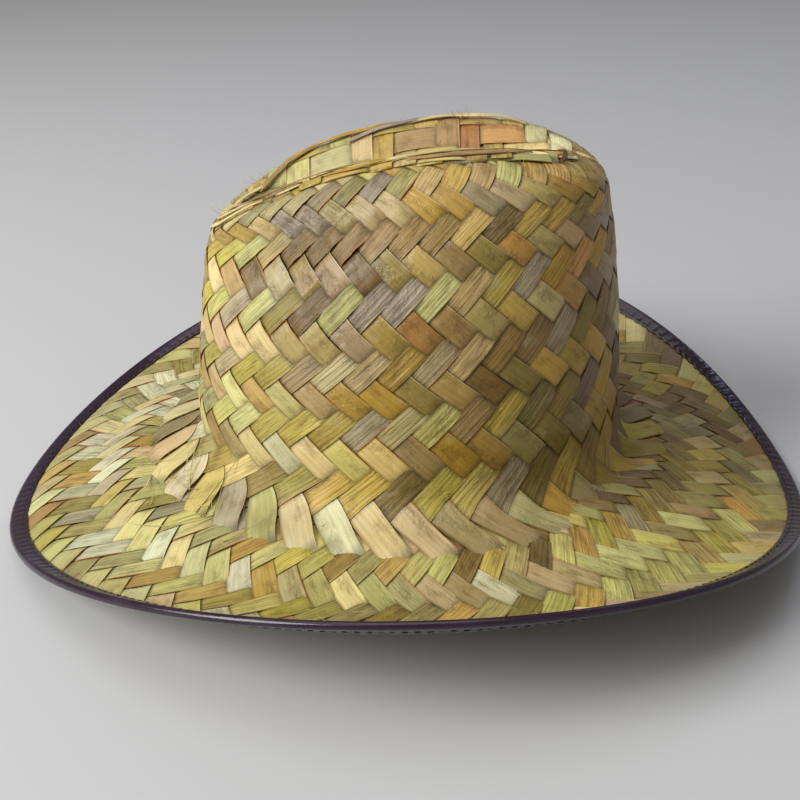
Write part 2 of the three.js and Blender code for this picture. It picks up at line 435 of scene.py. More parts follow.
@dataclass(frozen=True)
class StrawTones:
    """Chooses the tones of the palm leaf by where a strip lies on the hat: the leaf's own tones, with painted
    light and shade mixed in.
    """

    evenness: float = 0.28
    least: float = 0.004
    reach: float = 1e-4
    # Range of a float's random brightness, partly painted light and shade for how floats tilt to the light.
    shade: tuple[float, float] = (0.8, 1.16)
    own_share: tuple[float, float] = (0.3, 0.9)

    def weights(self, azimuth: np.ndarray, run: np.ndarray, lay: Lay | None) -> np.ndarray:
        """Blends the tables of the places near each point.

        Args:
            azimuth: Degrees from the front, either side alike.
            run: Places along the surface.
            lay: Which strips, or None for either.

        Returns:
            One weight for each point and tone, which add to one for a point.
        """
        total = np.full((len(azimuth), len(TONE_NAMES)), self.least)
        for spot, shares in TONE_PLACES.values():
            place = dict(zip(PLACE_COLUMNS, spot))
            if None not in (lay, place["lay"]) and place["lay"] is not lay:
                continue
            across = (azimuth - place["azimuth"]) / place["half_angle"]
            along = (run - place["run"]) / place["half_run"]
            near = np.exp(-0.5 * (across**2 + along**2)) + self.reach
            row = np.array([shares.get(name, 0.0) for name in TONE_NAMES])
            total += near[:, None] * row / row.sum()
        return total / total.sum(1, keepdims=True)

    def pick(self, azimuth: np.ndarray, run: np.ndarray, lay: Lay | None, draw: np.ndarray) -> np.ndarray:
        """Picks a tone for each point.

        Args:
            azimuth: Degrees from the front.
            run: Places along the surface.
            lay: Which strips, or None for either.
            draw: Random numbers from 0 to 1, one for each point.

        Returns:
            Linear colours, one row for each point.
        """
        steps = np.cumsum(self.weights(self.off_front(azimuth), run, lay), axis=1)
        index = np.minimum((draw[:, None] > steps).sum(1), len(TONE_NAMES) - 1)
        return self.table()[index]

    def table(self) -> np.ndarray:
        """Gives the linear colour of each tone, in order."""
        return np.array([linear_colour(*TONES[name]) for name in TONE_NAMES])

    def mean(self, azimuth: np.ndarray, run: np.ndarray, lay: Lay | None = None) -> np.ndarray:
        """Gives the mean linear colour of the leaf near each point."""
        return self.weights(self.off_front(azimuth), run, lay) @ self.table()

    @staticmethod
    def off_front(azimuth: np.ndarray) -> np.ndarray:
        """Gives degrees from the front, from 0 to 180 on either side."""
        return np.abs((azimuth + 180) % 360 - 180)


def smooth_noise(rng: np.random.Generator, along: np.ndarray, pitch: float) -> np.ndarray:
    """Gives each strip a slow random wander between -1 and 1.

    Args:
        rng: Random numbers.
        along: Places along each strip, a row for each, in crossings.
        pitch: Crossings from one bend to the next.

    Returns:
        A value for each place.
    """
    knots = np.arange(along.min() - pitch, along.max() + 2 * pitch, pitch)
    values = rng.uniform(-1, 1, (len(along), len(knots)))
    place = (along - knots[0]) / pitch
    low = np.clip(place.astype(int), 0, len(knots) - 2)
    part = smooth_step(0, 1, place - low)
    return np.take_along_axis(values, low, 1) * (1 - part) + np.take_along_axis(values, low + 1, 1) * part


def twill_height(phase: np.ndarray) -> np.ndarray:
    """Gives how a strip goes over two crossings and under two.

    Args:
        phase: Place in the round of the twill, in crossings.

    Returns:
        Heights from -1, right under, to 1, right on top.
    """
    turn = np.cos(2 * np.pi / TWILL_ROUND * (phase - TOP_PHASE))
    return np.tanh(STEEPNESS * turn) / math.tanh(STEEPNESS)


def float_number(phase: np.ndarray, first: bool) -> np.ndarray:
    """Numbers the floats, which are the stretches of a strip that lie on top.

    Args:
        phase: Place in the round of the twill, in crossings.
        first: True for the strips that twill_height describes, False for those that cross them.

    Returns:
        The number of the float nearest to each place.
    """
    middle = TOP_PHASE if first else TOP_PHASE + TWILL_ROUND / 2
    return np.floor((phase - middle) / TWILL_ROUND + 0.5).astype(int)


def float_tones(
    tones: StrawTones, rng: np.random.Generator, floats: np.ndarray, azimuth: np.ndarray, run: np.ndarray,
    lay: Lay | None = None,
) -> np.ndarray:
    """Colours each strip, with a change from one float to the next.

    Args:
        tones: The colours of the leaf.
        rng: Random numbers.
        floats: Number of the float at each place along each strip.
        azimuth: Degrees from the front there.
        run: Place along the hat's surface there.
        lay: Which strips, or None for either.

    Returns:
        A linear colour for each strip and place along it.
    """
    strips = len(floats)
    colour = np.zeros((*floats.shape, 3))
    whole = rng.uniform(0, 1, strips)
    for number in range(floats.min(), floats.max() + 1):
        here = floats == number
        count = np.maximum(here.sum(1), 1)
        middle_azimuth = np.where(here, azimuth, 0).sum(1) / count
        middle_run = np.where(here, run, 0).sum(1) / count
        own = tones.pick(middle_azimuth, middle_run, lay, rng.uniform(0, 1, strips))
        strip = tones.pick(middle_azimuth, middle_run, lay, whole)
        # Each float gets a random brightness: partly the leaf's tone, partly painted light and shade for its
        # tilt to the light.
        shade = rng.uniform(*tones.shade, (strips, 1))
        share = rng.uniform(*tones.own_share, (strips, 1))
        even = tones.mean(middle_azimuth, middle_run, lay) * tones.evenness
        mixed = ((strip * (1 - share) + own * share) * (1 - tones.evenness) + even) * shade
        colour = np.where(here[:, :, None], mixed[:, None, :], colour)
    return np.clip(colour, 0, 1)


@dataclass
class StripShape:
    """Turns strips that are laid out on the hat into closed flat ribbons.

    across gives the places across a strip, in strip widths. A strip takes its tones from where its
    place NEAR_MIDDLE lies.
    """

    thickness: float = 0.34
    width: float = 1.02
    uneven: float = 0.045
    waist: float = 0.03
    wander: float = 0.035
    tilt: float = 0.17
    ripple: float = 0.08
    twist: float = 1.6
    cup: tuple[float, float] = (-0.06, 0.14)
    across: tuple[float, ...] = (-0.5, -0.17, 0.17, 0.5)

    def lateral(self, rng: np.random.Generator, along: np.ndarray) -> np.ndarray:
        """Places the points across each strip, in strip widths.

        Args:
            rng: Random numbers.
            along: Places along each strip, in crossings.

        Returns:
            One value by strip, place along and place across.
        """
        width = self.width * rng.uniform(1 - self.uneven, 1 + 0.6 * self.uneven, (len(along), 1, 1))
        narrow = smooth_noise(rng, along, pitch=2.0)[:, :, None] * self.waist
        wander = smooth_noise(rng, along, pitch=3.0)[:, :, None] * self.wander
        return np.array(self.across) * (width + narrow) + wander

    def ribbons(
        self, rng: np.random.Generator, along: np.ndarray, middle: np.ndarray, normal: np.ndarray,
        over: np.ndarray, wave: np.ndarray, lift: np.ndarray, tone: np.ndarray, crossing: float,
        crumple: np.ndarray | float = 0.0,
    ) -> MeshData:
        """Makes the ribbons.

        Args:
            rng: Random numbers.
            along: Places along each strip, in crossings.
            middle: Points on the hat's surface by strip, along and across.
            normal: The surface's directions there.
            over: From -1, under its neighbours, to 1, over them.
            wave: How far over or under, in millimetres.
            lift: Height of the whole layer, in millimetres.
            tone: Linear colour by strip and place along.
            crossing: Length of one crossing, in millimetres.
            crumple: Height of the short buckles, in millimetres.

        Returns:
            One mesh of all the strips.
        """
        strips, lengths = along.shape
        across = np.array(self.across)
        tilt = self.tilt * (1 + 0.6 * smooth_noise(rng, along, pitch=2.0)[:, :, None])
        ripple = smooth_noise(rng, along, pitch=1.3)[:, :, None] * self.ripple
        buckle = smooth_noise(rng, along, pitch=0.45)[:, :, None]
        buckle = buckle + smooth_noise(rng, along, pitch=0.6)[:, :, None] * across * self.twist
        ripple = ripple + np.abs(buckle) * crumple * np.clip(over, 0, 1)
        cup = rng.uniform(*self.cup, (strips, 1, 1)) * (1 - (across / 0.5) ** 2)
        height = over * wave + lift + tilt * across / 0.5 + ripple + cup
        top = middle + normal * (height + self.thickness / 2)[..., None]
        flat = [0, len(across) - 1]
        bottom = (middle + normal * (height - self.thickness / 2)[..., None])[:, :, flat][:, :, ::-1]
        ring = np.concatenate([top, bottom], axis=2)
        size = ring.shape[2]
        uv = np.zeros((strips, lengths, size, 2))
        uv[..., 0] = (along * crossing + rng.uniform(0, 400, (strips, 1)))[:, :, None]
        uv[..., 1] = np.concatenate([across, across[flat][::-1]]) * 2
        traits = np.zeros((strips, lengths, size, 3))
        traits[..., 0] = rng.uniform(0, 1, (strips, 1, 1))
        # Height in the weave, which the leaf finish reads to paint shade where a strip dips under.
        traits[..., 1] = 0.5 + 0.5 * np.broadcast_to(over, middle.shape[:3]).mean(axis=2)[:, :, None]
        traits[..., 2] = rng.uniform(0, 1, (strips, 1, 1))
        corner = np.zeros((strips, lengths, size), np.int32)
        for number, place in enumerate((0, len(across) - 1, len(across), size - 1)):
            corner[:, :, place] = number + 1
        return ribbons_mesh(ring, uv, np.repeat(tone[:, :, None, :], size, axis=2), traits, corner)


def ribbons_mesh(
    ring: np.ndarray, uv: np.ndarray, tone: np.ndarray, traits: np.ndarray, corner: np.ndarray,
) -> MeshData:
    """Joins the rings of points along each strip into closed ribbons.

    Args:
        ring: Points by strip, place along, place round the section, and axis.
        uv: Their coordinates along and across the strip.
        tone: Their colours.
        traits: Their other values.
        corner: Above 0 for the points of each sharp edge.

    Returns:
        One mesh of all the strips.
    """
    strips, lengths, size = ring.shape[:3]
    number = np.arange(strips * lengths * size).reshape(strips, lengths, size)
    caps = number[:, 0].tolist() + number[:, -1, ::-1].tolist()
    return MeshData(
        ring.reshape(-1, 3), tube_quads(number), caps, uv.reshape(-1, 2), tone.reshape(-1, 3),
        traits.reshape(-1, 3), corner.reshape(-1),
    )


@dataclass
class PlaitedZone:
    """One ring-shaped stretch of two-over-two twill, with the same number of strips all the way.

    row_height, slant, lift, wave and narrowing are pairs of a run and the value there. overrun is how far
    the rising and the falling strips run past the end, and crumple the height of the strips' short
    buckles everywhere and what the pinches add to it.
    """

    form: HatForm
    strips: int
    run_start: float
    run_end: float
    row_height: Sequence[tuple[float, float]]
    slant: Sequence[tuple[float, float]]
    lift: Sequence[tuple[float, float]]
    seed: int
    first_phase: float = 1.0
    wave: Sequence[tuple[float, float]] = ((0, 0.62), (280, 0.62))
    shape: StripShape = field(default_factory=StripShape)
    ragged: float = 0.05
    segments: int = 6
    wrinkle_shade: float = 0.28
    crumple: tuple[float, float] = (0.06, 0.8)
    rising_seed: int = 7
    overrun: tuple[float, float] = (0.0, 0.0)
    narrowing: Sequence[tuple[float, float]] = ((0, 1), (280, 1))
    run_limit: float = 280.0
    back_foot_lift: float = 0.0
    slanted: float = 0.71

    def __post_init__(self) -> None:
        """Works out how the rows and the strips share the surface."""
        runs = np.arange(0, self.form.edge_run + RUN_STEP, RUN_STEP)
        turn = np.linspace(0, 2 * np.pi, TURN_STEPS + 1)
        angle, run = np.meshgrid(turn, runs)
        ring = self.form.point(angle, run)
        step = np.linalg.norm(np.diff(ring, axis=1), axis=2)
        length = np.hstack([np.zeros((len(runs), 1)), np.cumsum(step, axis=1)])
        self.runs = runs
        self.perimeter = length[:, -1]
        share = np.linspace(0, 1, TURN_STEPS + 1)
        self.angle_at = np.array([np.interp(share * row[-1], row, turn) for row in length])
        pace = self.read(self.row_height, runs) * self.perimeter / self.strips
        rows = np.concatenate([[0], np.cumsum(0.5 * RUN_STEP * (1 / pace[1:] + 1 / pace[:-1]))])
        self.row_at_run = rows - np.interp(self.run_start, runs, rows)
        self.last = 2 * float(np.interp(self.run_end, runs, self.row_at_run))

    @staticmethod
    def read(profile: Sequence[tuple[float, float]], run: np.ndarray) -> np.ndarray:
        """Reads a profile, pairs of a run and the value there, at some runs."""
        return np.interp(run, *np.array(profile, float).T)

    def locate(self, u: np.ndarray, v: np.ndarray) -> tuple[np.ndarray, np.ndarray]:
        """Finds where a place in the plait lies on the hat.

        Args:
            u: Place round the head, in strips.
            v: Place down the hat, in rows.

        Returns:
            The angles in radians and the runs.
        """
        run = np.interp(v, self.row_at_run, self.runs)
        share = (u / self.strips) % 1
        row = np.clip(run / RUN_STEP, 0, len(self.runs) - 2)
        low = row.astype(int)
        column = share * TURN_STEPS
        left = np.minimum(column.astype(int), TURN_STEPS - 1)
        part, side = row - low, column - left
        angle = (
            (self.angle_at[low, left] * (1 - side) + self.angle_at[low, left + 1] * side) * (1 - part)
            + (self.angle_at[low + 1, left] * (1 - side) + self.angle_at[low + 1, left + 1] * side) * part
        )
        run = run + self.read(self.slant, run) * np.cos(angle)
        return angle, np.clip(run, 0, self.run_limit)

    def heights(self, lay: Lay, along: np.ndarray) -> np.ndarray:
        """Gives how high a strip of this lay is in the weave, from -1 to 1, at places along it."""
        over = twill_height(along + self.first_phase)
        return over if lay is Lay.RISING else -over

    def heights_at_foot(self, angle: np.ndarray, run: np.ndarray) -> np.ndarray:
        """Gives how far the layer is raised or sunk where the crown's foot meets the brim at the back.

        Args:
            angle: Angles round the head, in radians from the front.
            run: Places along the surface, of the same shape.

        Returns:
            Heights in millimetres.
        """
        azimuth = np.abs(np.degrees(np.arctan2(np.sin(angle), np.cos(angle))))
        off_back = (azimuth - BACK_FOOT_AZIMUTH) / BACK_FOOT_HALF_ANGLE
        at_foot = smooth_step(*BACK_FOOT_FROM, run) * smooth_step(*BACK_FOOT_TO, run)
        return self.back_foot_lift * np.exp(-0.5 * off_back**2) * at_foot

    def weave(self, lay: Lay, tones: StrawTones) -> MeshData:
        """Makes all the strips of one lay as closed flat ribbons.

        Args:
            lay: Which strips.
            tones: The colours of the leaf.

        Returns:
            Their mesh.
        """
        rising = lay is Lay.RISING
        rng = np.random.default_rng(self.seed + (self.rising_seed if rising else 0))
        length = self.last + self.overrun[0 if rising else 1]
        count = max(int(round(length * self.segments)), 2)
        share = np.linspace(0, 1, count + 1)[None, :]
        cut = rng.normal(0, self.ragged, (self.strips, 2))
        along = share * length + cut[:, :1] * (1 - share) ** 6 + cut[:, 1:] * share**6
        near_run = np.interp(along / 2, self.row_at_run, self.runs)
        across = self.shape.lateral(rng, along) * self.read(self.narrowing, near_run)[:, :, None]
        index = np.arange(self.strips)[:, None, None]
        wide = along[:, :, None] * np.ones(across.shape[2])
        if rising:
            u, v = index + (across - wide) / 2, (wide + across) / 2
        else:
            u, v = index + (wide + across) / 2, (wide - across) / 2
        angle, run = self.locate(u, v)
        lift = self.read(self.lift, run) + self.heights_at_foot(angle, run)
        floats = float_number(along + self.first_phase, rising)
        azimuth = np.degrees(angle[:, :, NEAR_MIDDLE])
        tone = float_tones(tones, rng, floats, azimuth, run[:, :, NEAR_MIDDLE], lay)
        wrinkled = self.form.wrinkled(angle, run)
        # Painted shade in the pinches' wrinkles: the tone darkens toward their middle.
        tone = tone * (1 - self.wrinkle_shade * wrinkled[:, :, NEAR_MIDDLE, None])
        middle_run = (self.run_start + self.run_end) / 2
        crossing = float(np.interp(middle_run, self.runs, self.perimeter)) / self.strips * self.slanted
        return self.shape.ribbons(
            rng, along, self.form.point(angle, run), self.form.normal(angle, run), self.heights(lay, wide),
            self.read(self.wave, run), lift, tone, crossing, self.crumple[0] + self.crumple[1] * wrinkled,
        )


ACCENT_COLUMNS = ("x", "y", "tone")
CREASE_ACCENTS = (
    (-25, 31, "rust"), (-17, 47, "orange"), (-21, 20, "tan"), (-24, -14, "pink"), (-14, -32, "orange"),
    (-8, 38, "rust"),
)


@dataclass
class CreasePlait:
    """The plait inside the ridge, lengthwise and crosswise strips pressed down into the crease."""

    form: HatForm
    tones: StrawTones
    lanes: int = 7
    lane_width: float = 9.6
    rows: int = 17
    row_width: float = 9.4
    wave: float = 0.55
    narrowing: float = 0.5
    edge_run: float = 41.0
    overhang: float = 2.5
    accent_share: float = 0.6
    slope_reach: float = 3.0
    step: float = 1.5
    plan_x: tuple[float, float] = (-52.5, 53)
    plan_y: tuple[float, float] = (-90, 93)
    smoothing: int = 5
    lift_middle: float = 0.2
    lift_edge: float = 0.8
    lift_bottom: float = 0.7
    bottom_width: float = 5
    seed: int = 63

    def __post_init__(self) -> None:
        """Makes a height map of the crown's top and the outline of the plait."""
        turn = np.linspace(0, 2 * np.pi, 181)
        angle, run = np.meshgrid(turn[:-1], np.linspace(0, 64, 65))
        points = self.form.point(angle, run)
        lengths, around = points.shape[:2]
        faces = tube_quads(np.arange(lengths * around).reshape(lengths, around)).tolist()
        faces += [[k, k + 1, around - k - 1, (around - k) % around] for k in range(1, around // 2)]
        tree = BVHTree.FromPolygons([Vector(p) for p in points.reshape(-1, 3)], faces)
        self.x_axis = np.arange(*self.plan_x, self.step)
        self.y_axis = np.arange(*self.plan_y, self.step)
        heights = np.full((len(self.y_axis), len(self.x_axis)), np.nan)
        for row, y in enumerate(self.y_axis):
            for column, x in enumerate(self.x_axis):
                hit = tree.ray_cast(Vector((x, y, 400)), Vector((0, 0, -1)))[0]
                if hit is not None:
                    heights[row, column] = hit.z
        heights = np.where(np.isnan(heights), np.nanmin(heights) - 4, heights)
        for _ in range(self.smoothing):
            wide = np.pad(heights, 1, mode="edge")
            heights = (
                wide[1:-1, 1:-1] * 2 + wide[:-2, 1:-1] + wide[2:, 1:-1] + wide[1:-1, :-2] + wide[1:-1, 2:]
            ) / 6
        self.heights = heights
        edge = self.form.point(turn, np.full_like(turn, self.edge_run))[: 91]
        self.edge_y, self.edge_x = edge[:, 1], np.maximum(edge[:, 0], 0)
        self.front, self.back = edge[0, 1], edge[-1, 1]
        self.widest = self.edge_x.max()

    def read(self, table: np.ndarray, x: np.ndarray, y: np.ndarray) -> np.ndarray:
        """Reads a table over the plan between its points.

        Args:
            table: Values by row (Y) and column (X).
            x: Places across the hat.
            y: Places along it.

        Returns:
            The values there.
        """
        column = np.clip((x - self.x_axis[0]) / self.step, 0, len(self.x_axis) - 1.001)
        row = np.clip((y - self.y_axis[0]) / self.step, 0, len(self.y_axis) - 1.001)
        left, low = column.astype(int), row.astype(int)
        side, part = column - left, row - low
        first = table[low, left] * (1 - side) + table[low, left + 1] * side
        second = table[low + 1, left] * (1 - side) + table[low + 1, left + 1] * side
        return first * (1 - part) + second * part

    def outline(self, y: np.ndarray) -> np.ndarray:
        """Gives the half width of the plait's outline at some places along the hat."""
        return np.interp(y, self.edge_y, self.edge_x, left=0, right=0)

    def weave(self, lengthwise: bool) -> MeshData:
        """Makes the lengthwise or the crosswise strips.

        Args:
            lengthwise: True for the strips along the crease.

        Returns:
            Their mesh.
        """
        rng = np.random.default_rng(self.seed + lengthwise)
        shape = StripShape(uneven=0.16, tilt=0.2)
        middle_lane, middle_y = (self.lanes - 1) / 2, (self.front + self.back) / 2
        middle_row = (self.rows - 1) / 2
        strips = self.lanes if lengthwise else self.rows
        share = np.linspace(0, 1, 97 if lengthwise else 49)[None, :]
        if lengthwise:
            lane = np.arange(self.lanes) - middle_lane
            ends = np.array([self.lane_ends(float(k)) for k in lane])
            loose = rng.uniform(0, self.overhang, (strips, 2))
            start, end = ends[:, :1] - loose[:, :1], ends[:, 1:] + loose[:, 1:]
            along = ((start + (end - start) * share) - middle_y) / self.row_width + middle_row
        else:
            y = (np.arange(self.rows) - middle_row) * self.row_width + middle_y
            half = self.outline(y)[:, None] / self.narrow(y)[:, None] / self.lane_width
            loose = rng.uniform(0, self.overhang, (strips, 2)) / self.lane_width
            start, end = middle_lane - half - loose[:, :1], middle_lane + half + loose[:, 1:]
            along = start + (end - start) * share
        across = shape.lateral(rng, along)
        wide = along[:, :, None] * np.ones(across.shape[2])
        index = np.arange(strips)[:, None, None]
        lane_at, row_at = (index + across, wide) if lengthwise else (wide, index + across)
        y = (row_at - middle_row) * self.row_width + middle_y
        x = (lane_at - middle_lane) * self.lane_width * self.narrow(y)
        z, reach = self.read(self.heights, x, y), self.slope_reach
        rise_x = self.read(self.heights, x + reach, y) - self.read(self.heights, x - reach, y)
        rise_y = self.read(self.heights, x, y + reach) - self.read(self.heights, x, y - reach)
        normal = unit(np.stack([-rise_x / (2 * reach), -rise_y / (2 * reach), np.ones_like(z)], -1))
        phase = (index - wide) if lengthwise else (wide - index)
        over = twill_height(phase) * (1 if lengthwise else -1)
        near_edge = smooth_step(0.55, 0.95, np.abs(x) / np.maximum(self.outline(y), 6))
        lift = self.lift_middle + self.lift_edge * near_edge
        if not lengthwise:
            at_bottom = np.exp(-((x / self.bottom_width) ** 2))
            lift = lift + self.lift_bottom * at_bottom * smooth_step(-0.2, 0.6, over)
        azimuth = np.degrees(np.arctan2(np.abs(x), -y))[:, :, NEAR_MIDDLE]
        floats = float_number(phase[:, :, NEAR_MIDDLE], lengthwise)
        tone = float_tones(self.tones, rng, floats, azimuth, np.full_like(azimuth, 20.0))
        self.accent(tone, floats, x[:, :, NEAR_MIDDLE], y[:, :, NEAR_MIDDLE], over[:, :, NEAR_MIDDLE])
        points = np.stack([x, y, z], -1)
        return shape.ribbons(rng, along, points, normal, over, self.wave, lift, tone, self.row_width)

    def accent(
        self, tone: np.ndarray, floats: np.ndarray, x: np.ndarray, y: np.ndarray, over: np.ndarray,
    ) -> None:
        """Recolours the floats that lie on top nearest to the accents.

        Args:
            tone: A linear colour for each strip and place along it, which is changed.
            floats: Number of the float there.
            x: Place across the hat there.
            y: Place along the hat there.
            over: Height in the weave there.
        """
        not_on_top, near = 20 * (over < 0.5), 4
        for row in CREASE_ACCENTS:
            accent = dict(zip(ACCENT_COLUMNS, row))
            away = np.hypot(x - accent["x"], y - accent["y"]) + not_on_top
            strip, place = np.unravel_index(np.argmin(away), away.shape)
            if away[strip, place] < near:
                same = floats[strip] == floats[strip, place]
                fresh = np.array(linear_colour(*TONES[accent["tone"]]))
                tone[strip, same] = (1 - self.accent_share) * tone[strip, same] + self.accent_share * fresh

    def narrow(self, y: np.ndarray) -> np.ndarray:
        """Gives how far the lanes close up toward the ends of the crown, where 1 is not at all."""
        return 1 - self.narrowing * (1 - self.outline(y) / self.widest)

    def lane_ends(self, lane: float) -> tuple[float, float]:
        """Finds where a lengthwise strip reaches the outline.

        Args:
            lane: Its number from the middle one.

        Returns:
            The places along the hat at its front and its back end.
        """
        y = np.linspace(self.front, self.back, 400)
        inside = y[np.abs(lane) * self.lane_width * self.narrow(y) <= self.outline(y)]
        return float(inside.min()), float(inside.max())


class NodeGraph:
    """A node tree with short calls to add nodes."""

    def __init__(self, tree: bpy.types.NodeTree) -> None:
        """Takes the tree and empties it."""
        self.nodes, self.links = tree.nodes, tree.links
        self.nodes.clear()

    def node(
        self, kind: str, inputs: dict[str | int, object] | None = None, **settings: object,
    ) -> bpy.types.Node:
        """Adds a node.

        Args:
            kind: Blender's name for it.
            inputs: Values or sockets for its inputs.
            settings: Its own settings.

        Returns:
            The node.
        """
        made = self.nodes.new(kind)
        for key, value in settings.items():
            setattr(made, key, value)
        self.feed(made, inputs or {})
        return made

    def feed(self, node: bpy.types.Node, inputs: dict[str | int, object]) -> None:
        """Links or sets a node's own inputs.

        Args:
            node: The node.
            inputs: Sockets and values, by the name or the number of the input.
        """
        for key, value in inputs.items():
            if isinstance(value, bpy.types.NodeSocket):
                self.links.new(value, node.inputs[key])
            else:
                node.inputs[key].default_value = value

    def math(self, operation: str, *values: object) -> bpy.types.NodeSocket:
        """Adds a sum of sockets and numbers and gives its result."""
        return self.node("ShaderNodeMath", dict(enumerate(values)), operation=operation).outputs[0]


class NodeSheet(NodeGraph):
    """A material's node tree, with the nodes that the finishes share."""

    def __init__(self, name: str) -> None:
        """Makes an empty material with a Principled shader.

        Args:
            name: Name of the material.
        """
        self.material = bpy.data.materials.new(name)
        self.material.use_nodes = True
        super().__init__(self.material.node_tree)
        self.shader = self.node("ShaderNodeBsdfPrincipled")
        self.node("ShaderNodeOutputMaterial", {"Surface": self.shader.outputs["BSDF"]})

    def dress(self, inputs: dict[str, object]) -> bpy.types.Material:
        """Links or sets the shader's own inputs and gives the material."""
        self.feed(self.shader, inputs)
        return self.material

    def attribute(self, name: str, output: str) -> bpy.types.NodeSocket:
        """Reads an attribute of the mesh, as the output Color or Vector."""
        return self.node("ShaderNodeAttribute", attribute_name=name).outputs[output]

    def noise(self, place: object, stretch: Sequence[float], **inputs: float) -> bpy.types.NodeSocket:
        """Adds a noise of its own pitch along and across the strip.

        Args:
            place: Coordinates to read it at.
            stretch: How often it repeats along each axis.
            inputs: Its own inputs.

        Returns:
            The noise, from 0 to 1.
        """
        at = self.node("ShaderNodeMapping", {"Vector": place, "Scale": stretch}).outputs[0]
        return self.node("ShaderNodeTexNoise", {"Vector": at, **inputs}).outputs[0]

    def remap(
        self, value: object, low: float, high: float, out_low: float, out_high: float,
    ) -> bpy.types.NodeSocket:
        """Adds a clamped change of range.

        Args:
            value: The socket to read.
            low: Its value that gives out_low.
            high: Its value that gives out_high.
            out_low: Result at low.
            out_high: Result at high.

        Returns:
            The result.
        """
        inputs = {0: value, 1: low, 2: high, 3: out_low, 4: out_high}
        return self.node("ShaderNodeMapRange", inputs).outputs[0]

    def mix(self, blend: str, share: object, first: object, second: object) -> bpy.types.NodeSocket:
        """Adds a colour mix.

        Args:
            blend: How the two colours are mixed.
            share: How much of the second.
            first: The first colour.
            second: The second colour.

        Returns:
            The mixed colour.
        """
        inputs = {0: share, 6: first, 7: second}
        return self.node("ShaderNodeMix", inputs, data_type="RGBA", blend_type=blend).outputs[2]


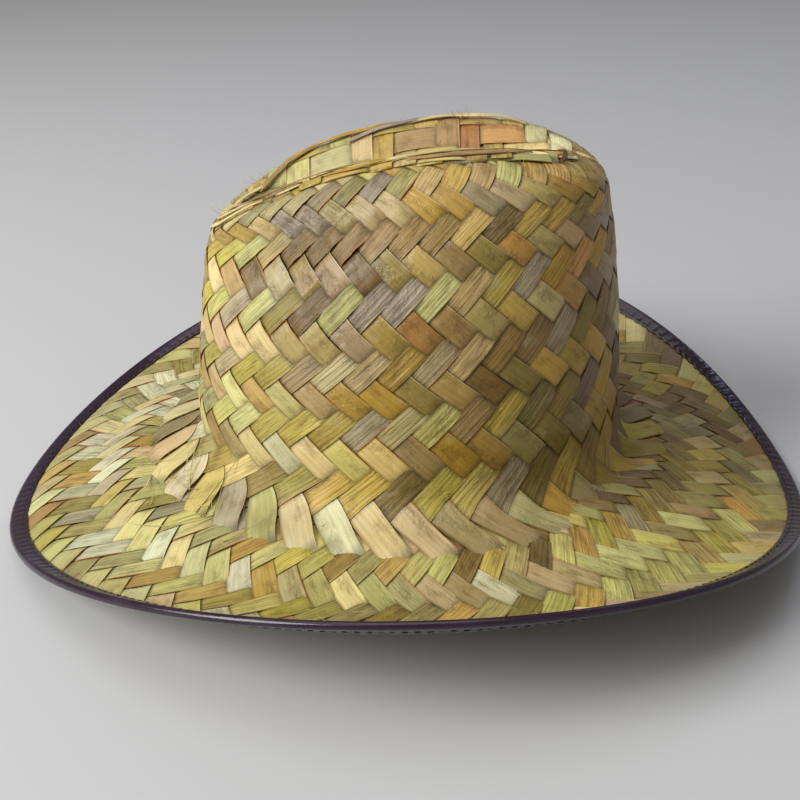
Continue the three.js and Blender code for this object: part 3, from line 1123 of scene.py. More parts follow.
class CopyTree(NodeGraph):
    """Geometry nodes that set copies of a small piece on points or along a path, as one real mesh."""

    SOCKETS = (
        ("Piece", "NodeSocketObject"), ("Finish", "NodeSocketMaterial"), ("Spacing", "NodeSocketFloat"),
        ("Size change", "NodeSocketFloat"), ("Turn", "NodeSocketFloat"), ("Seed", "NodeSocketInt"),
    )

    def __init__(self, name: str, along_path: bool) -> None:
        """Builds the tree.

        Args:
            name: Its name.
            along_path: True to follow a path at even spacing, False to use the points as they are.
        """
        self.group = bpy.data.node_groups.new(name, "GeometryNodeTree")
        super().__init__(self.group)
        sides = self.group.interface
        sides.new_socket("Geometry", in_out="INPUT", socket_type="NodeSocketGeometry")
        for label, kind in self.SOCKETS:
            sides.new_socket(label, in_out="INPUT", socket_type=kind)
        sides.new_socket("Geometry", in_out="OUTPUT", socket_type="NodeSocketGeometry")
        given = self.node("NodeGroupInput").outputs
        points, forward = given["Geometry"], self.attribute("forward")
        if along_path:
            curve = self.node("GeometryNodeMeshToCurve", {"Mesh": points}).outputs[0]
            spaced = {"Curve": curve, "Length": given["Spacing"]}
            points = self.node("GeometryNodeResampleCurve", spaced, mode="LENGTH").outputs[0]
            forward = self.node("GeometryNodeInputTangent").outputs[0]
        facing = self.node("FunctionNodeAlignRotationToVector", {"Vector": forward}, axis="X").outputs[0]
        aim = {"Rotation": facing, "Vector": self.attribute("up")}
        facing = self.node("FunctionNodeAlignRotationToVector", aim, axis="Z", pivot_axis="X").outputs[0]
        angle = self.chance(self.math("SUBTRACT", 0.0, given["Turn"]), given["Turn"], given["Seed"])
        spin = self.node("FunctionNodeAxisAngleToRotation", {"Axis": (0, 0, 1), "Angle": angle}).outputs[0]
        turned = {"Rotation": facing, "Rotate By": spin}
        facing = self.node("FunctionNodeRotateRotation", turned, rotation_space="LOCAL").outputs[0]
        small = self.math("SUBTRACT", 1.0, given["Size change"])
        large = self.math("ADD", 1.0, given["Size change"])
        own = self.node("GeometryNodeInputNamedAttribute", {"Name": "size"}, data_type="FLOAT").outputs[0]
        size = self.math("MULTIPLY", own, self.chance(small, large, given["Seed"]))
        shape = self.node("GeometryNodeObjectInfo", {"Object": given["Piece"]}).outputs["Geometry"]
        placed = {"Points": points, "Instance": shape, "Rotation": facing, "Scale": size}
        copies = self.node("GeometryNodeInstanceOnPoints", placed).outputs[0]
        solid = self.node("GeometryNodeRealizeInstances", {"Geometry": copies}).outputs[0]
        dressed = {"Geometry": solid, "Material": given["Finish"]}
        self.node("NodeGroupOutput", {"Geometry": self.node("GeometryNodeSetMaterial", dressed).outputs[0]})

    def attribute(self, name: str) -> bpy.types.NodeSocket:
        """Reads a direction stored on the points."""
        kind = "GeometryNodeInputNamedAttribute"
        return self.node(kind, {"Name": name}, data_type="FLOAT_VECTOR").outputs[0]

    def chance(self, low: object, high: object, seed: object) -> bpy.types.NodeSocket:
        """Gives a random number for each point.

        Args:
            low: Socket of the lowest number.
            high: Socket of the highest number.
            seed: Socket of the seed.

        Returns:
            The number.
        """
        made = self.node("FunctionNodeRandomValue", data_type="FLOAT")
        values = [socket for socket in made.inputs if socket.enabled]
        for socket, value in zip(values, (low, high)):
            self.links.new(value, socket)
        self.links.new(seed, made.inputs["Seed"])
        return next(socket for socket in made.outputs if socket.enabled)

    def grow(
        self, name: str, points: bpy.types.Mesh, piece: bpy.types.Mesh, finish: bpy.types.Material,
        seed: int, spacing: float = 0.0, size_change: float = 0.0, turn: float = 0.0,
    ) -> bpy.types.Object:
        """Makes the copies and keeps them as a plain mesh.

        Args:
            name: Name of the new object.
            points: Where the copies go, with their directions.
            piece: The mesh that is copied.
            finish: Its material.
            seed: Seed of the random changes.
            spacing: Way from one copy to the next along a path, in metres.
            size_change: Largest change of size, as a share.
            turn: Largest turn about the upward direction, in radians.

        Returns:
            The object, at the origin.
        """
        scene = bpy.context.scene.collection.objects
        host = bpy.data.objects.new(f"{name}_points", points)
        sample = bpy.data.objects.new(f"{name}_sample", piece)
        scene.link(host)
        scene.link(sample)
        modifier = host.modifiers.new("copies", "NODES")
        modifier.node_group = self.group
        sockets = {i.name: i.identifier for i in self.group.interface.items_tree if i.in_out == "INPUT"}
        values = {
            "Piece": sample, "Finish": finish, "Spacing": spacing, "Size change": size_change,
            "Turn": turn, "Seed": seed,
        }
        for label, value in values.items():
            modifier[sockets[label]] = value
        graph = bpy.context.evaluated_depsgraph_get()
        mesh = bpy.data.meshes.new_from_object(host.evaluated_get(graph), depsgraph=graph)
        mesh.name = name
        host.modifiers.remove(modifier)
        bpy.data.objects.remove(host)
        bpy.data.objects.remove(sample)
        made = bpy.data.objects.new(name, mesh)
        scene.link(made)
        return made


def rod_mesh(name: str, centres: np.ndarray, radii: Sequence[float], sides: int) -> bpy.types.Mesh:
    """Makes a small closed rod that runs along X.

    Args:
        name: Name of the mesh.
        centres: Points along its middle, in millimetres.
        radii: Its radius at each of them.
        sides: Number of its sides.

    Returns:
        The mesh, in metres.
    """
    turn = 2 * np.pi * np.arange(sides) / sides
    ring = np.stack([np.zeros(sides), np.cos(turn), np.sin(turn)], -1)
    points = centres[:, None, :] + ring[None] * np.array(radii)[:, None, None]
    number = np.arange(len(centres) * sides).reshape(len(centres), sides)
    faces = tube_quads(number).tolist() + [number[0].tolist(), number[-1, ::-1].tolist()]
    mesh = bpy.data.meshes.new(name)
    mesh.from_pydata((points.reshape(-1, 3) * MM).tolist(), [], faces)
    mesh.polygons.foreach_set("use_smooth", np.ones(len(mesh.polygons), bool))
    return mesh


def point_mesh(
    name: str, points: np.ndarray, size: np.ndarray, directions: dict[str, np.ndarray], closed: bool = False,
) -> bpy.types.Mesh:
    """Makes a mesh of loose points or of one closed path.

    Args:
        name: Name of the mesh.
        points: Points in millimetres.
        size: Size of the copy that each point gets, as a share.
        directions: Vectors for each point, by the name of the attribute.
        closed: True for a closed path through the points.

    Returns:
        The mesh, in metres.
    """
    mesh = bpy.data.meshes.new(name)
    count = len(points)
    edges = [(k, (k + 1) % count) for k in range(count)] if closed else []
    mesh.from_pydata((points * MM).tolist(), edges, [])
    for label, vectors in directions.items():
        attribute = mesh.attributes.new(label, "FLOAT_VECTOR", "POINT")
        attribute.data.foreach_set("vector", vectors.astype(np.float32).ravel())
    mesh.attributes.new("size", "FLOAT", "POINT").data.foreach_set("value", size.astype(np.float32))
    return mesh


@dataclass(frozen=True)
class LeafFinish:
    """The look of one side of the palm leaf."""

    name: str
    gloss_roughness: float
    rib_depth: float
    rib_contrast: float
    groove: float
    stain: float = 0.55
    crease_depth: float = 0.55
    stain_colour: tuple[float, ...] = (0.42, 0.30, 0.16, 1)
    pale_colour: tuple[float, ...] = (0.62, 0.60, 0.40, 1)
    # Edge colours: a painted highlight on the raised upper edge, the leaf's own rust on some, painted shade
    # on the lower edge.
    highlight_rim: tuple[float, ...] = (0.66, 0.50, 0.24, 1)
    rust_rim: tuple[float, ...] = (0.46, 0.13, 0.04, 1)
    shaded_rim: tuple[float, ...] = (0.30, 0.20, 0.10, 1)

    def build(self) -> bpy.types.Material:
        """Makes the leaf material from the strip's own coordinates, tone and traits.

        Returns:
            The material.
        """
        sheet = NodeSheet(self.name)
        uv = sheet.node("ShaderNodeUVMap", uv_map="strip").outputs[0]
        traits = sheet.node("ShaderNodeSeparateXYZ", {0: sheet.attribute("traits", "Vector")}).outputs
        across = sheet.node("ShaderNodeSeparateXYZ", {0: uv}).outputs[1]
        fibre = sheet.noise(uv, (0.022, 4.5, 1), Scale=1.0, Detail=5.0, Roughness=0.6)
        rib = sheet.noise(uv, (0.016, 2.2, 1), Scale=1.6, Detail=2.0)
        blotch = sheet.noise(uv, (0.09, 0.55, 1), Scale=1.0, Detail=4.0, Roughness=0.65)
        crease = sheet.noise(uv, (0.045, 0.9, 1), Scale=1.0, Detail=1.5, Distortion=0.35)
        fold = sheet.remap(crease, 0.38, 0.66, 0.0, 1.0)
        crushed = sheet.math("MULTIPLY", fold, sheet.remap(blotch, 0.42, 0.6, 0.25, 1.0))
        shade = self.shade(sheet, fibre, rib, crushed, traits[1])
        colour = sheet.mix("MULTIPLY", 1.0, sheet.attribute("tone", "Color"), shade)
        stained = sheet.remap(blotch, 0.52, 0.74, 0.0, self.stain)
        colour = sheet.mix("MULTIPLY", stained, colour, self.stain_colour)
        colour = sheet.mix("MIX", sheet.remap(blotch, 0.42, 0.24, 0.0, 0.3), colour, self.pale_colour)
        colour = self.rims(sheet, colour, across, traits[0], traits[2])
        rough = sheet.remap(fibre, 0.2, 0.8, self.gloss_roughness - 0.06, self.gloss_roughness + 0.14)
        grain = sheet.math("MULTIPLY", rib, 0.65 * self.rib_depth)
        grain = sheet.math("ADD", grain, sheet.math("MULTIPLY", fibre, 0.5 * self.rib_depth))
        relief = sheet.math("SUBTRACT", grain, sheet.math("MULTIPLY", crushed, self.crease_depth))
        bump = sheet.node("ShaderNodeBump", {"Height": relief, "Strength": 1.0, "Distance": MM})
        return sheet.dress({
            "Base Color": colour, "Roughness": rough, "Normal": bump.outputs[0], "Specular IOR Level": 0.45,
        })

    def shade(
        self, sheet: NodeSheet, fibre: bpy.types.NodeSocket, rib: bpy.types.NodeSocket,
        crushed: bpy.types.NodeSocket, height: bpy.types.NodeSocket,
    ) -> bpy.types.NodeSocket:
        """Darkens the fibres and thin lines along the ribs, and paints shade in the crushed folds and where a
        strip dips under its neighbours.

        Args:
            sheet: The material's nodes.
            fibre: Noise of the fibres.
            rib: Noise of the ribs.
            crushed: How crushed the leaf is.
            height: Height in the weave, from 0 to 1.

        Returns:
            A grey that multiplies the tone.
        """
        streak = sheet.remap(fibre, 0.3, 0.7, 1 - self.rib_contrast, 1 + self.rib_contrast)
        off_rib = sheet.math("ABSOLUTE", sheet.math("SUBTRACT", rib, 0.5))
        groove = sheet.remap(off_rib, 0.0, 0.05, 1 - self.groove, 1.0)
        # Painted shade where a strip dips under its neighbours.
        sunk = sheet.remap(height, 0.3, 0.8, 0.44, 1.0)
        shade = sheet.math("MULTIPLY", sheet.math("MULTIPLY", streak, groove), sunk)
        # Painted shade in the crushed folds.
        shade = sheet.math("MULTIPLY", shade, sheet.remap(crushed, 0.2, 1.0, 1.03, 0.78))
        return sheet.node("ShaderNodeCombineColor", {0: shade, 1: shade, 2: shade}).outputs[0]

    def rims(
        self, sheet: NodeSheet, colour: bpy.types.NodeSocket, across: bpy.types.NodeSocket,
        pale: bpy.types.NodeSocket, rust: bpy.types.NodeSocket,
    ) -> bpy.types.NodeSocket:
        """Colours the long edges: a painted highlight or the leaf's own rust tint on some strips' raised
        upper edge, painted shade on each lower edge where it tucks under a neighbour.

        Args:
            sheet: The material's nodes.
            colour: The colour so far.
            across: Place across the strip, from -1 to 1.
            pale: The strip's random number for a painted highlight on its upper edge.
            rust: Its random number for a rust edge.

        Returns:
            The new colour.
        """
        upper = sheet.remap(across, 0.9, 0.98, 0.0, 1.0)
        lower = sheet.remap(across, -0.80, -0.98, 0.0, 1.0)
        # Painted highlight on the raised upper edge of some strips.
        highlight_share = sheet.math("MULTIPLY", upper, sheet.remap(pale, 0.45, 0.8, 0.0, 0.6))
        colour = sheet.mix("MIX", highlight_share, colour, self.highlight_rim)
        rust_share = sheet.math("MULTIPLY", upper, sheet.remap(rust, 0.74, 0.9, 0.0, 0.8))
        colour = sheet.mix("MIX", rust_share, colour, self.rust_rim)
        # Painted shade on the lower edge, which tucks under the next strip.
        return sheet.mix("MULTIPLY", sheet.math("MULTIPLY", lower, 0.62), colour, self.shaded_rim)


@dataclass(frozen=True)
class FibreFinish:
    """Dry torn fibre of the leaf, in the tone of the strip that it comes from."""

    name: str = "torn_fibre"
    roughness: float = 0.6

    def build(self) -> bpy.types.Material:
        """Makes the fibre material."""
        sheet = NodeSheet(self.name)
        return sheet.dress({"Base Color": sheet.attribute("tone", "Color"), "Roughness": self.roughness})


@dataclass(frozen=True)
class ThreadFinish:
    """Dark sewing thread."""

    name: str = "seam_thread_dark"
    colour: tuple[float, float, float] = (38, 30, 40)
    roughness: float = 0.55

    def build(self) -> bpy.types.Material:
        """Makes the thread material."""
        inputs = {"Base Color": (*linear_colour(*self.colour), 1), "Roughness": self.roughness}
        return NodeSheet(self.name).dress(inputs)


@dataclass(frozen=True)
class TapeFinish:
    """Dark vinyl tape with a soft shine, a little paler where it is worn."""

    name: str = "binding_vinyl"
    colour: tuple[float, float, float] = (42, 25, 40)
    worn_colour: tuple[float, float, float] = (70, 52, 84)

    def build(self) -> bpy.types.Material:
        """Makes the tape material.

        Returns:
            The material.
        """
        sheet = NodeSheet(self.name)
        place = sheet.node("ShaderNodeTexCoord").outputs["Object"]
        grain = sheet.node("ShaderNodeTexNoise", {"Vector": place, "Scale": 900.0, "Detail": 3.0}).outputs[0]
        worn = sheet.node("ShaderNodeTexNoise", {"Vector": place, "Scale": 45.0, "Detail": 5.0}).outputs[0]
        base, paler = ((*linear_colour(*colour), 1) for colour in (self.colour, self.worn_colour))
        bump = sheet.node("ShaderNodeBump", {"Height": grain, "Strength": 0.5, "Distance": 0.1 * MM})
        return sheet.dress({
            "Base Color": sheet.mix("MIX", sheet.remap(worn, 0.5, 0.75, 0.0, 0.45), base, paler),
            "Roughness": sheet.remap(worn, 0.3, 0.7, 0.13, 0.30),
            "Normal": bump.outputs[0],
        })


@dataclass
class PlaitedCrown:
    """The crown: its wall and ridge, and the flat plait at the bottom of the crease."""

    form: HatForm
    tones: StrawTones
    strips: int = 38

    def zone(self) -> PlaitedZone:
        """Sets out the plait of the wall, from inside the ridge to just beyond the break.

        Returns:
            The plait.
        """
        return PlaitedZone(
            form=self.form, strips=self.strips, run_start=31, run_end=183.5, seed=21, overrun=(0.25, 2.1),
            row_height=((0, 1.05), (40, 1.12), (80, 0.95), (120, 0.9), (176, 0.97), (184, 1.6), (220, 1.6)),
            slant=((0, 0), (60, 5), (110, 9), (160, 4), (184, 0), (280, 0)),
            lift=(
                (31, -1.0), (38, -0.6), (46, 0.2), (180, 0.2), (190, 0.9), (203, 0.9), (211, -0.6),
                (218, -1.0),
            ),
            narrowing=((0, 1), (184, 1), (203, 0.76), (280, 0.76)), back_foot_lift=-1.7,
        )

    def build(
        self, smooth_leaf: bpy.types.Material, ribbed_leaf: bpy.types.Material,
    ) -> list[bpy.types.Object]:
        """Builds the crown's pieces.

        Args:
            smooth_leaf: Finish of the falling strips.
            ribbed_leaf: Finish of the rising strips.

        Returns:
            The pieces, which take the place of the hidden solid crown.
        """
        zone, crease = self.zone(), CreasePlait(self.form, self.tones)
        crossing = join_meshes([crease.weave(True), crease.weave(False)])
        pieces = [
            build_object("crown_falling_strips", zone.weave(Lay.FALLING, self.tones), smooth_leaf),
            build_object("crown_rising_strips", zone.weave(Lay.RISING, self.tones), ribbed_leaf),
            build_object("crease_strips", crossing, smooth_leaf),
        ]
        for piece in pieces:
            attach(piece, BODY)
        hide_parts("crown")
        return pieces


@dataclass
class PlaitedBrim:
    """The brim: twice as many strips as the crown, which start under the ends of the crown's strips."""

    form: HatForm
    tones: StrawTones
    strips: int = 76

    def zone(self) -> PlaitedZone:
        """Sets out the plait of the brim, from below the break to the edge.

        Returns:
            The plait.
        """
        return PlaitedZone(
            form=self.form, strips=self.strips, run_start=186.8, run_end=277.6, run_limit=277.8, seed=33,
            row_height=((180, 1.6), (230, 1.6), (280, 1.35)), slant=((0, 0), (280, 0)),
            lift=((184, -1.3), (198, -0.9), (208, 0), (280, 0)), back_foot_lift=1.0,
            wave=((0, 0.62), (266, 0.62), (271, 0.26), (280, 0.26)),
            shape=StripShape(width=1.05, uneven=0.09),
        )

    def build(
        self, smooth_leaf: bpy.types.Material, ribbed_leaf: bpy.types.Material,
    ) -> list[bpy.types.Object]:
        """Builds the brim's pieces.

        Args:
            smooth_leaf: Finish of the falling strips.
            ribbed_leaf: Finish of the rising strips.

        Returns:
            The pieces, which take the place of the hidden solid brim.
        """
        zone = self.zone()
        pieces = []
        for lay, label, finish in (
            (Lay.FALLING, "brim_falling_strips", smooth_leaf),
            (Lay.RISING, "brim_rising_strips", ribbed_leaf),
        ):
            pieces.append(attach(build_object(label, zone.weave(lay, self.tones), finish), BODY))
        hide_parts("brim")
        return pieces


LOOSE_COLUMNS = ("azimuth", "run", "azimuth_end", "run_end", "width", "lift", "tone")
LOOSE_ROWS = (
    (80, 36, 121, 33, 2.8, 1.4, "cream"),
    (90, 39, 134, 36, 2.2, 0.9, "tan"),
    (66, 38, 104, 35, 2.2, 1.0, "mustard"),
    (50, 35, 86, 30, 2.6, 1.8, "cream"),
    (40, 37, 72, 33, 2.2, 1.6, "pink"),
    (100, 30, 148, 33, 2.0, 1.2, "tan"),
    (128, 29, 166, 35, 2.6, 1.4, "golden"),
    (140, 44, 172, 33, 2.2, 1.6, "brown"),
    (4, 52, 40, 39, 2.4, 1.4, "cream"),
    (-2, 46, 32, 36, 2.0, 2.0, "pink"),
    (8, 60, 44, 45, 2.2, 1.0, "cream"),
    (14, 45, 58, 38, 1.8, 1.6, "tan"),
    (-28, 33, 8, 46, 2.2, 1.4, "cream"),
    (-12, 40, 22, 52, 1.8, 1.0, "mustard"),
    (-60, 36, -20, 34, 2.2, 1.6, "tan"),
    (-46, 41, -88, 34, 2.6, 1.4, "mustard"),
    (-92, 34, -136, 37, 2.4, 1.8, "cream"),
    (-70, 30, -106, 36, 2.0, 1.2, "lavender_sheen"),
)


@dataclass
class LooseStrips:
    """Thin strips that run loose over the weave, most of them along the ridge."""

    form: HatForm
    steps: int = 36
    crossing: float = 8.0
    sway: float = 1.3
    least_lift: float = 1.25
    seed: int = 88

    def build(self, finish: bpy.types.Material) -> bpy.types.Object:
        """Builds the strips.

        Args:
            finish: Finish of the leaf.

        Returns:
            The piece.
        """
        rng = np.random.default_rng(self.seed)
        table = {name: [row[k] for row in LOOSE_ROWS] for k, name in enumerate(LOOSE_COLUMNS)}
        numbers = {name: np.array(table[name], float)[:, None] for name in LOOSE_COLUMNS[:-1]}
        share = np.linspace(0, 1, self.steps)[None, :]
        azimuth = numbers["azimuth"] + (numbers["azimuth_end"] - numbers["azimuth"]) * share
        run = numbers["run"] + (numbers["run_end"] - numbers["run"]) * share
        angle = np.radians(azimuth)
        middle, normal = self.form.point(angle, run), self.form.normal(angle, run)
        pace = np.linalg.norm(np.diff(middle, axis=1), axis=2)
        along = np.hstack([np.zeros((len(LOOSE_ROWS), 1)), np.cumsum(pace, axis=1)]) / self.crossing
        run = run + self.sway * smooth_noise(rng, along, pitch=1.6)
        middle, normal = self.form.point(angle, run), self.form.normal(angle, run)
        side = unit(np.cross(normal, np.gradient(middle, axis=1)))
        shape = StripShape(thickness=0.3, tilt=0.12)
        taper = 1 - 0.45 * smooth_step(0.75, 1, share) - 0.25 * smooth_step(0.2, 0, share)
        across = shape.lateral(rng, along) * (numbers["width"] * taper)[:, :, None]
        points = middle[:, :, None] + side[:, :, None] * across[..., None]
        arch = self.least_lift + numbers["lift"] * (0.35 + 0.65 * np.sin(np.pi * share) ** 0.6)
        tone = np.array([linear_colour(*TONES[name]) for name in table["tone"]])
        shade = 1 + 0.12 * smooth_noise(rng, along, pitch=1.1)
        upward = normal[:, :, None] * np.ones((1, 1, across.shape[2], 1))
        data = shape.ribbons(
            rng, along, points, upward, over=np.ones(across.shape), wave=0.0, lift=arch[:, :, None],
            tone=tone[:, None, :] * shade[:, :, None], crossing=self.crossing, crumple=0.05,
        )
        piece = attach(build_object("loose_strips", data, finish), BODY)
        return piece


TUFT_COLUMNS = ("azimuth", "run", "fibres", "spread", "size", "tone")
TUFT_ROWS = (
    (-109, 34, 60, 1.8, 0.42, "rust"),
    (-117, 30, 30, 2.0, 0.38, "rust"),
    (-74, 30, 20, 2.4, 0.4, "orange"),
    (60, 34, 14, 3.0, 0.6, "pink"),
    (12, 46, 18, 4.0, 0.8, "cream"),
    (-30, 38, 12, 3.0, 0.8, "cream"),
    (172, 44, 14, 4.0, 0.6, "tan"),
    (30, 196, 10, 4.0, 1.2, "cream"),
)
STRAY_COLUMNS = ("name", "count", "azimuth", "half_angle", "run", "half_run", "size", "stand")
STRAY_ROWS = (
    ("crown_wall", 150, 90, 180, 110, 72, 0.45, 0.10),
    ("ridge", 120, 90, 180, 40, 9, 0.5, 0.35),
    ("pinch", 60, 54, 24, 68, 20, 0.5, 0.20),
    ("break", 90, 60, 180, 188, 8, 0.55, 0.22),
    ("brim", 150, 90, 180, 232, 34, 0.5, 0.10),
    ("front_brim_hairs", 16, 35, 22, 205, 14, 2.4, 0.12),
)


@dataclass
class StrayFibres:
    """Torn fibres that stand off the strips, in tufts and singly."""

    form: HatForm
    tones: StrawTones
    height: float = 1.3
    above_floor: float = 2.0
    palest: float = 0.85
    seed: int = 52

    def fibre(self) -> bpy.types.Mesh:
        """Makes one curled fibre.

        Returns:
            Its mesh, ten millimetres long.
        """
        share = np.linspace(0, 1, 7)
        centres = np.stack([10 * share, 1.1 * np.sin(2.4 * share), 2.2 * share**2], -1)
        return rod_mesh("fibre", centres, 0.13 * (1 - 0.7 * share), 3)

    def spots(self) -> tuple[np.ndarray, ...]:
        """Draws where the fibres stand.

        Returns:
            Angles, runs, directions in the surface, how far they stand up, sizes and tones.
        """
        rng = np.random.default_rng(self.seed)
        found = []
        for row in STRAY_ROWS:
            stray = dict(zip(STRAY_COLUMNS, row))
            count = stray["count"]
            azimuth = stray["azimuth"] + rng.uniform(-1, 1, count) * stray["half_angle"]
            run = stray["run"] + rng.uniform(-1, 1, count) * stray["half_run"]
            way = np.radians(45 * rng.choice((-3, -1, 1, 3), count) + rng.normal(0, 14, count))
            stand = rng.uniform(0.3, 1.6, count) * stray["stand"]
            tone = self.tones.mean(azimuth, run) * rng.uniform(0.9, 1.5, (count, 1))
            found.append((azimuth, run, way, stand, np.full(count, stray["size"]), tone))
        for row in TUFT_ROWS:
            tuft = dict(zip(TUFT_COLUMNS, row))
            count = tuft["fibres"]
            azimuth = tuft["azimuth"] + rng.normal(0, tuft["spread"] * 0.8, count)
            run = tuft["run"] + rng.normal(0, tuft["spread"] * 0.5, count)
            way = rng.uniform(-np.pi, np.pi, count)
            tone = np.array(linear_colour(*TONES[tuft["tone"]])) * rng.uniform(0.8, 1.3, (count, 1))
            stand = rng.uniform(0.3, 1.4, count)
            found.append((azimuth, run, way, stand, np.full(count, tuft["size"]), tone))
        azimuth, run, way, stand, size, tone = (np.concatenate(values) for values in zip(*found))
        return np.radians(azimuth), run, way, stand, size, np.clip(tone, 0, self.palest)

    def build(self, finish: bpy.types.Material) -> bpy.types.Object:
        """Builds the fibres.

        Args:
            finish: Finish of the torn fibre.

        Returns:
            The piece.
        """
        angle, run, way, stand, size, tone = self.spots()
        normal = self.form.normal(angle, run)
        around = unit(self.form.point(angle + 0.01, run) - self.form.point(angle, run))
        down = np.cross(normal, around)
        forward = around * np.cos(way)[:, None] + down * np.sin(way)[:, None] + normal * stand[:, None]
        points = self.form.point(angle, run) + normal * self.height
        points[:, 2] = np.maximum(points[:, 2], self.above_floor)
        spots = point_mesh("fibre_spots", points, size, {"forward": forward, "up": normal})
        store_colour(spots, "tone", tone)
        tree = CopyTree("stray_fibres", along_path=False)
        piece = tree.grow("stray_fibres", spots, self.fibre(), finish, self.seed, size_change=0.5, turn=0.4)
        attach(piece, BODY)
        return piece


@dataclass
class EdgeTape:
    """The tape folded over the brim's edge and gathered by its seam."""

    form: HatForm
    inside: float = 0.85
    above: float = 2.3
    under: float = 1.1
    resting: float = 2.3
    on_top: float = 9.0
    below: float = 11.0
    fold: float = 2.0
    sections: int = 900
    pucker_pitch: float = 5.5
    pucker_height: float = 0.2
    far_pucker: float = 2.6
    flare: float = 0.7
    hem: float = 6.5
    seed: int = 71

    def top_height(self, away: float) -> float:
        """Gives the height of the tape's top, which is fullest along the edge."""
        thin = self.inside + 0.3
        return thin + (self.above - thin) * (1 - (away / self.on_top) ** 1.5)

    def outline(self) -> list[tuple[float, float]]:
        """Gives the folded section, once round.

        Returns:
            Pairs of distance from the edge and height.
        """
        top = [(self.on_top, self.inside + 0.2)]
        top += [(away, self.top_height(away)) for away in (8.4, 7.2, 6, 4.5, 3, 1.8)]
        full, low = self.above, -self.under
        nose = [(0.9, 0.92 * full), (0.3, 0.66 * full), (0, 0.3 * full), (0.1, 0.5 * low), (0.8, 0.8 * low)]
        under = [(1.6, 0.92 * low)] + [(away, low) for away in (2.4, 5, 7, 9, 10.2)]
        under += [(self.below, low + 0.1)]
        inner = [(away, -self.inside) for away in (self.below, 6, self.fold)]
        inner += [(away, self.inside) for away in (self.fold, 6, self.on_top)]
        return top + nose + under + inner

    def sag(self, angle: np.ndarray) -> np.ndarray:
        """Gives how many times deeper the underside lies than at the sides, so that the hat rests on it."""
        return 1 + (self.resting / self.under - 1) * smooth_step(0.7, 0.95, np.abs(np.cos(angle)))

    def gathers(self, angle: np.ndarray, length: np.ndarray, total: float) -> np.ndarray:
        """Draws the waves that the seam pulls into the tape, which are larger behind the hat's far side.

        Args:
            angle: Angles round the head, in radians from the front.
            length: Way along the edge there, in millimetres.
            total: The whole way round.

        Returns:
            How far out each place lies, about -1 to 1.
        """
        rng = np.random.default_rng(self.seed)
        turn = 2 * np.pi * round(total / self.pucker_pitch) * length / total
        size = np.interp(length, np.linspace(0, total, 120), rng.uniform(0.35, 1.0, 120), period=total)
        far_back = smooth_step(0.2, -0.4, np.sin(angle)) * smooth_step(0.5, -0.1, np.cos(angle))
        size *= 1 + (self.far_pucker - 1) * far_back
        drift = np.interp(length, np.linspace(0, total, 60), rng.uniform(-1.2, 1.2, 60), period=total)
        return np.cos(turn + drift) * size

    def build(self, finish: bpy.types.Material) -> bpy.types.Object:
        """Builds the tape.

        Args:
            finish: Its vinyl.

        Returns:
            The piece, which stands for the solid tape.
        """
        outline = np.array(self.outline())
        angle = np.linspace(0, 2 * np.pi, self.sections, endpoint=False)[:, None]
        edge = self.form.point(angle, np.full_like(angle, self.form.edge_run))[:, 0]
        steps = np.linalg.norm(np.roll(edge, -1, axis=0) - edge, axis=1)
        length = np.concatenate([[0], np.cumsum(steps)[:-1]])
        gather = self.gathers(angle[:, 0], length, steps.sum())[:, None]
        away, height = outline[None, :, 0], outline[None, :, 1]
        outer = (np.abs(height) > self.inside + 0.02) | (away < self.fold - 0.1)
        near_seam = np.exp(-0.5 * ((away - 6.8) / 2.6) ** 2)
        swell = self.pucker_height * gather * near_seam * outer
        wavy = gather * smooth_step(self.hem, self.on_top, away) * np.where(height < 0, 0.9, 0.3)
        run = self.form.edge_run - away + wavy
        lower = height < -self.inside
        out = height * np.where(lower, self.sag(angle), 1) + np.sign(height) * swell
        out -= self.flare * (0.55 + 0.45 * gather) * smooth_step(self.hem, 10.5, away) * lower
        grid = angle * np.ones_like(run)
        ring = self.form.point(grid, run) + self.form.normal(grid, run) * out[..., None]
        ring[..., 2] = np.maximum(ring[..., 2], 0.0)
        count, size_round = ring.shape[:2]
        number = np.arange(count * size_round).reshape(count, size_round)
        after, ahead = np.roll(number, -1, axis=1), np.roll(number, -1, axis=0)
        both = np.roll(ahead, -1, axis=1)
        quads = np.stack([number, after, both, ahead], -1).reshape(-1, 4)
        uv = np.stack(np.meshgrid(length, np.arange(size_round), indexing="ij"), -1)
        blank = np.zeros((number.size, 3))
        corner = np.zeros(number.size, np.int32)
        data = MeshData(ring.reshape(-1, 3), quads, [], uv.reshape(-1, 2), blank, blank, corner)
        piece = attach(build_object("folded_tape", data, finish), BODY)
        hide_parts("edge_binding")
        return piece


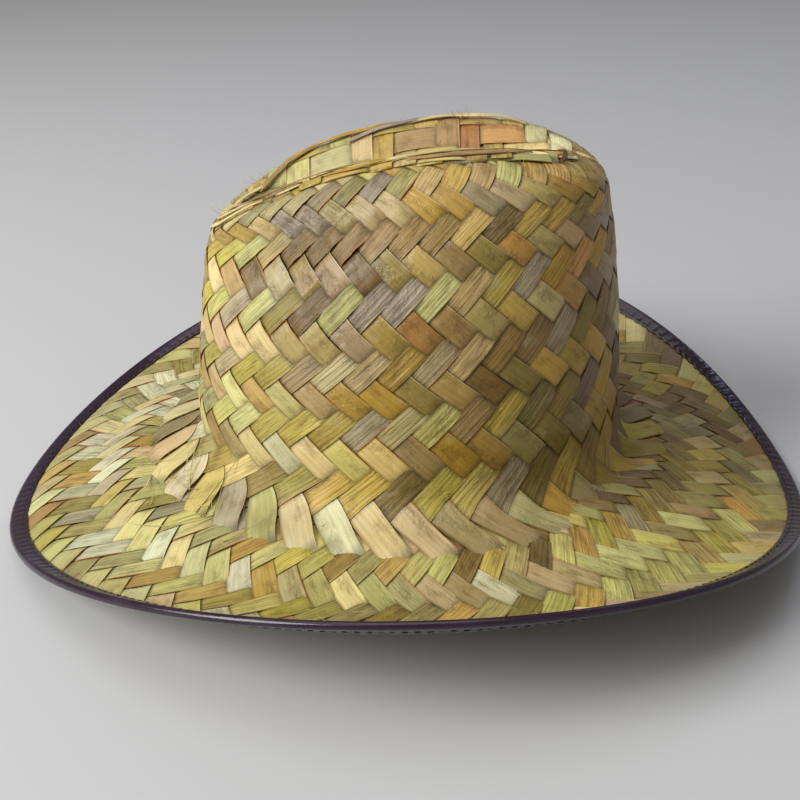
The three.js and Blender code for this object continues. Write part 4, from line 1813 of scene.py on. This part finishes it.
@dataclass
class EdgeSeam:
    """The seam through the tape, as stitches on top and below."""

    form: HatForm
    tape: EdgeTape
    from_edge: float = 6.9
    pitch: float = 4.1
    stitch_length: float = 2.9
    thread: float = 0.2
    above_floor: float = 0.3
    seed: int = 9

    def stitch(self) -> bpy.types.Mesh:
        """Makes one stitch, a closed rod with its ends drawn down.

        Returns:
            Its mesh.
        """
        share = np.linspace(-1, 1, 5)
        centres = np.stack([share * self.stitch_length / 2, 0 * share, 0.12 - 0.4 * share**4], -1)
        return rod_mesh("stitch", centres, [self.thread] * len(share), 6)

    def build(self, finish: bpy.types.Material) -> list[bpy.types.Object]:
        """Builds the seam.

        Args:
            finish: Finish of the thread.

        Returns:
            Its two rows of stitches.
        """
        angle = np.linspace(0, 2 * np.pi, 720, endpoint=False)
        run = np.full_like(angle, self.form.edge_run - self.from_edge)
        middle, normal = self.form.point(angle, run), self.form.normal(angle, run)
        tree = CopyTree("edge_stitches", along_path=True)
        sides = (
            ("seam_on_top", 1, self.tape.top_height(self.from_edge)),
            ("seam_below", -1, self.tape.under * self.tape.sag(angle)[:, None]),
        )
        rows = []
        for name, side, height in sides:
            points = middle + normal * side * height
            points[:, 2] = np.maximum(points[:, 2], self.above_floor)
            path = point_mesh("seam_path", points, np.ones(len(points)), {"up": normal * side}, closed=True)
            rows.append(tree.grow(
                name, path, self.stitch(), finish, self.seed,
                spacing=self.pitch * MM, size_change=0.06, turn=0.07,
            ))
        for row in rows:
            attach(row, BODY)
        return rows


@dataclass
class Studio:
    """The camera at the photograph's angle, a pale floor and soft light."""

    form: HatForm
    lens: float = 51.75
    distance: float = 540.0
    elevation: float = 27.46
    aside: float = -4.23
    above: float = 7.61

    def camera(self) -> None:
        """Makes the scene's camera."""
        tip = math.radians(self.elevation)
        axes = np.array([(0, 1, 0), (-math.sin(tip), 0, math.cos(tip)), (math.cos(tip), 0, math.sin(tip))])
        place = axes[2] * self.distance + axes[0] * self.aside + axes[1] * self.above
        right, up, back = self.form.lean_over(axes)
        spot = (self.form.lean_over(place) + self.form.shift) * MM
        data = bpy.data.cameras.new("camera")
        data.lens, data.sensor_width = self.lens, 36
        data.clip_start, data.clip_end = 0.01, 50
        camera = bpy.data.objects.new("camera", data)
        matrix = Matrix([(*row,) for row in np.stack([right, up, back, spot], 1)]).to_4x4()
        matrix[3][3] = 1
        camera.matrix_world = matrix
        bpy.context.scene.collection.objects.link(camera)
        bpy.context.scene.camera = camera

    def floor(self) -> None:
        """Makes the plain pale floor, which isn't part of the hat."""
        half = 4.0
        corners = [(-half, -half, 0), (half, -half, 0), (half, half, 0), (-half, half, 0)]
        mesh = bpy.data.meshes.new("floor")
        mesh.from_pydata(corners, [], [(0, 1, 2, 3)])
        paper = {"Base Color": (0.60, 0.61, 0.63, 1), "Roughness": 0.8}
        mesh.materials.append(NodeSheet("floor_paper").dress(paper))
        floor = bpy.data.objects.new("floor", mesh)
        bpy.context.scene.collection.objects.link(floor)

    def light(
        self, name: str, spot: Sequence[float], size: float, power: float, colour: Sequence[float],
    ) -> None:
        """Adds a square soft light that faces the hat.

        Args:
            name: Its name.
            spot: Where it stands, in metres.
            size: Its side, in metres.
            power: Its power, in watts.
            colour: Its colour.
        """
        data = bpy.data.lights.new(name, "AREA")
        data.size, data.energy, data.color = size, power, colour
        lamp = bpy.data.objects.new(name, data)
        lamp.location = spot
        aim = Vector((0, 0, 0.08)) - Vector(spot)
        lamp.rotation_mode = "QUATERNION"
        lamp.rotation_quaternion = aim.to_track_quat("-Z", "Y")
        bpy.context.scene.collection.objects.link(lamp)

    def lights(self) -> None:
        """Sets soft light from the front and above, a weak fill, a small cool lamp behind and the room."""
        self.light("window", (0.75, -1.5, 1.2), 1.1, 40, (1.0, 0.98, 0.95))
        self.light("overhead", (0.1, -0.3, 1.9), 1.4, 9, (1.0, 0.98, 0.95))
        self.light("fill", (1.6, 1.2, 0.7), 1.4, 1.1, (1.0, 0.86, 0.66))
        self.light("far_window", (-1.0, 0.65, 1.2), 0.22, 1.0, (0.42, 0.54, 1.0))
        world = bpy.data.worlds.new("soft_room")
        world.use_nodes = True
        back = world.node_tree.nodes["Background"]
        back.inputs[0].default_value = (0.92, 0.90, 0.88, 1)
        back.inputs[1].default_value = 0.25
        bpy.context.scene.world = world
        bpy.context.scene.view_settings.view_transform = "Standard"


def main() -> None:
    """Builds the studio and the hat, in order, and reports each piece."""
    logging.basicConfig(level=logging.INFO, format="%(name)s: %(message)s", force=True)
    form = HatForm()
    form.set_down()
    LOG.info("form set down at %s", np.round(form.shift, 2))
    studio = Studio(form)
    studio.camera()
    studio.floor()
    studio.lights()
    tones = StrawTones()
    smooth_leaf = LeafFinish(
        "palm_leaf_smooth_side", gloss_roughness=0.36, rib_depth=0.16, rib_contrast=0.13, groove=0.10,
    ).build()
    ribbed_leaf = LeafFinish(
        "palm_leaf_ribbed_side", gloss_roughness=0.44, rib_depth=0.60, rib_contrast=0.27, groove=0.38,
    ).build()
    pieces = PlaitedCrown(form, tones).build(smooth_leaf, ribbed_leaf)
    pieces += PlaitedBrim(form, tones).build(smooth_leaf, ribbed_leaf)
    pieces.append(LooseStrips(form).build(smooth_leaf))
    pieces.append(StrayFibres(form, tones).build(FibreFinish().build()))
    tape = EdgeTape(form)
    pieces.append(tape.build(TapeFinish().build()))
    pieces += EdgeSeam(form, tape).build(ThreadFinish().build())
    for piece in pieces:
        piece.data.calc_loop_triangles()
        LOG.info("%s: %d triangles", piece.name, len(piece.data.loop_triangles))


if __name__ == "__main__":
    main()
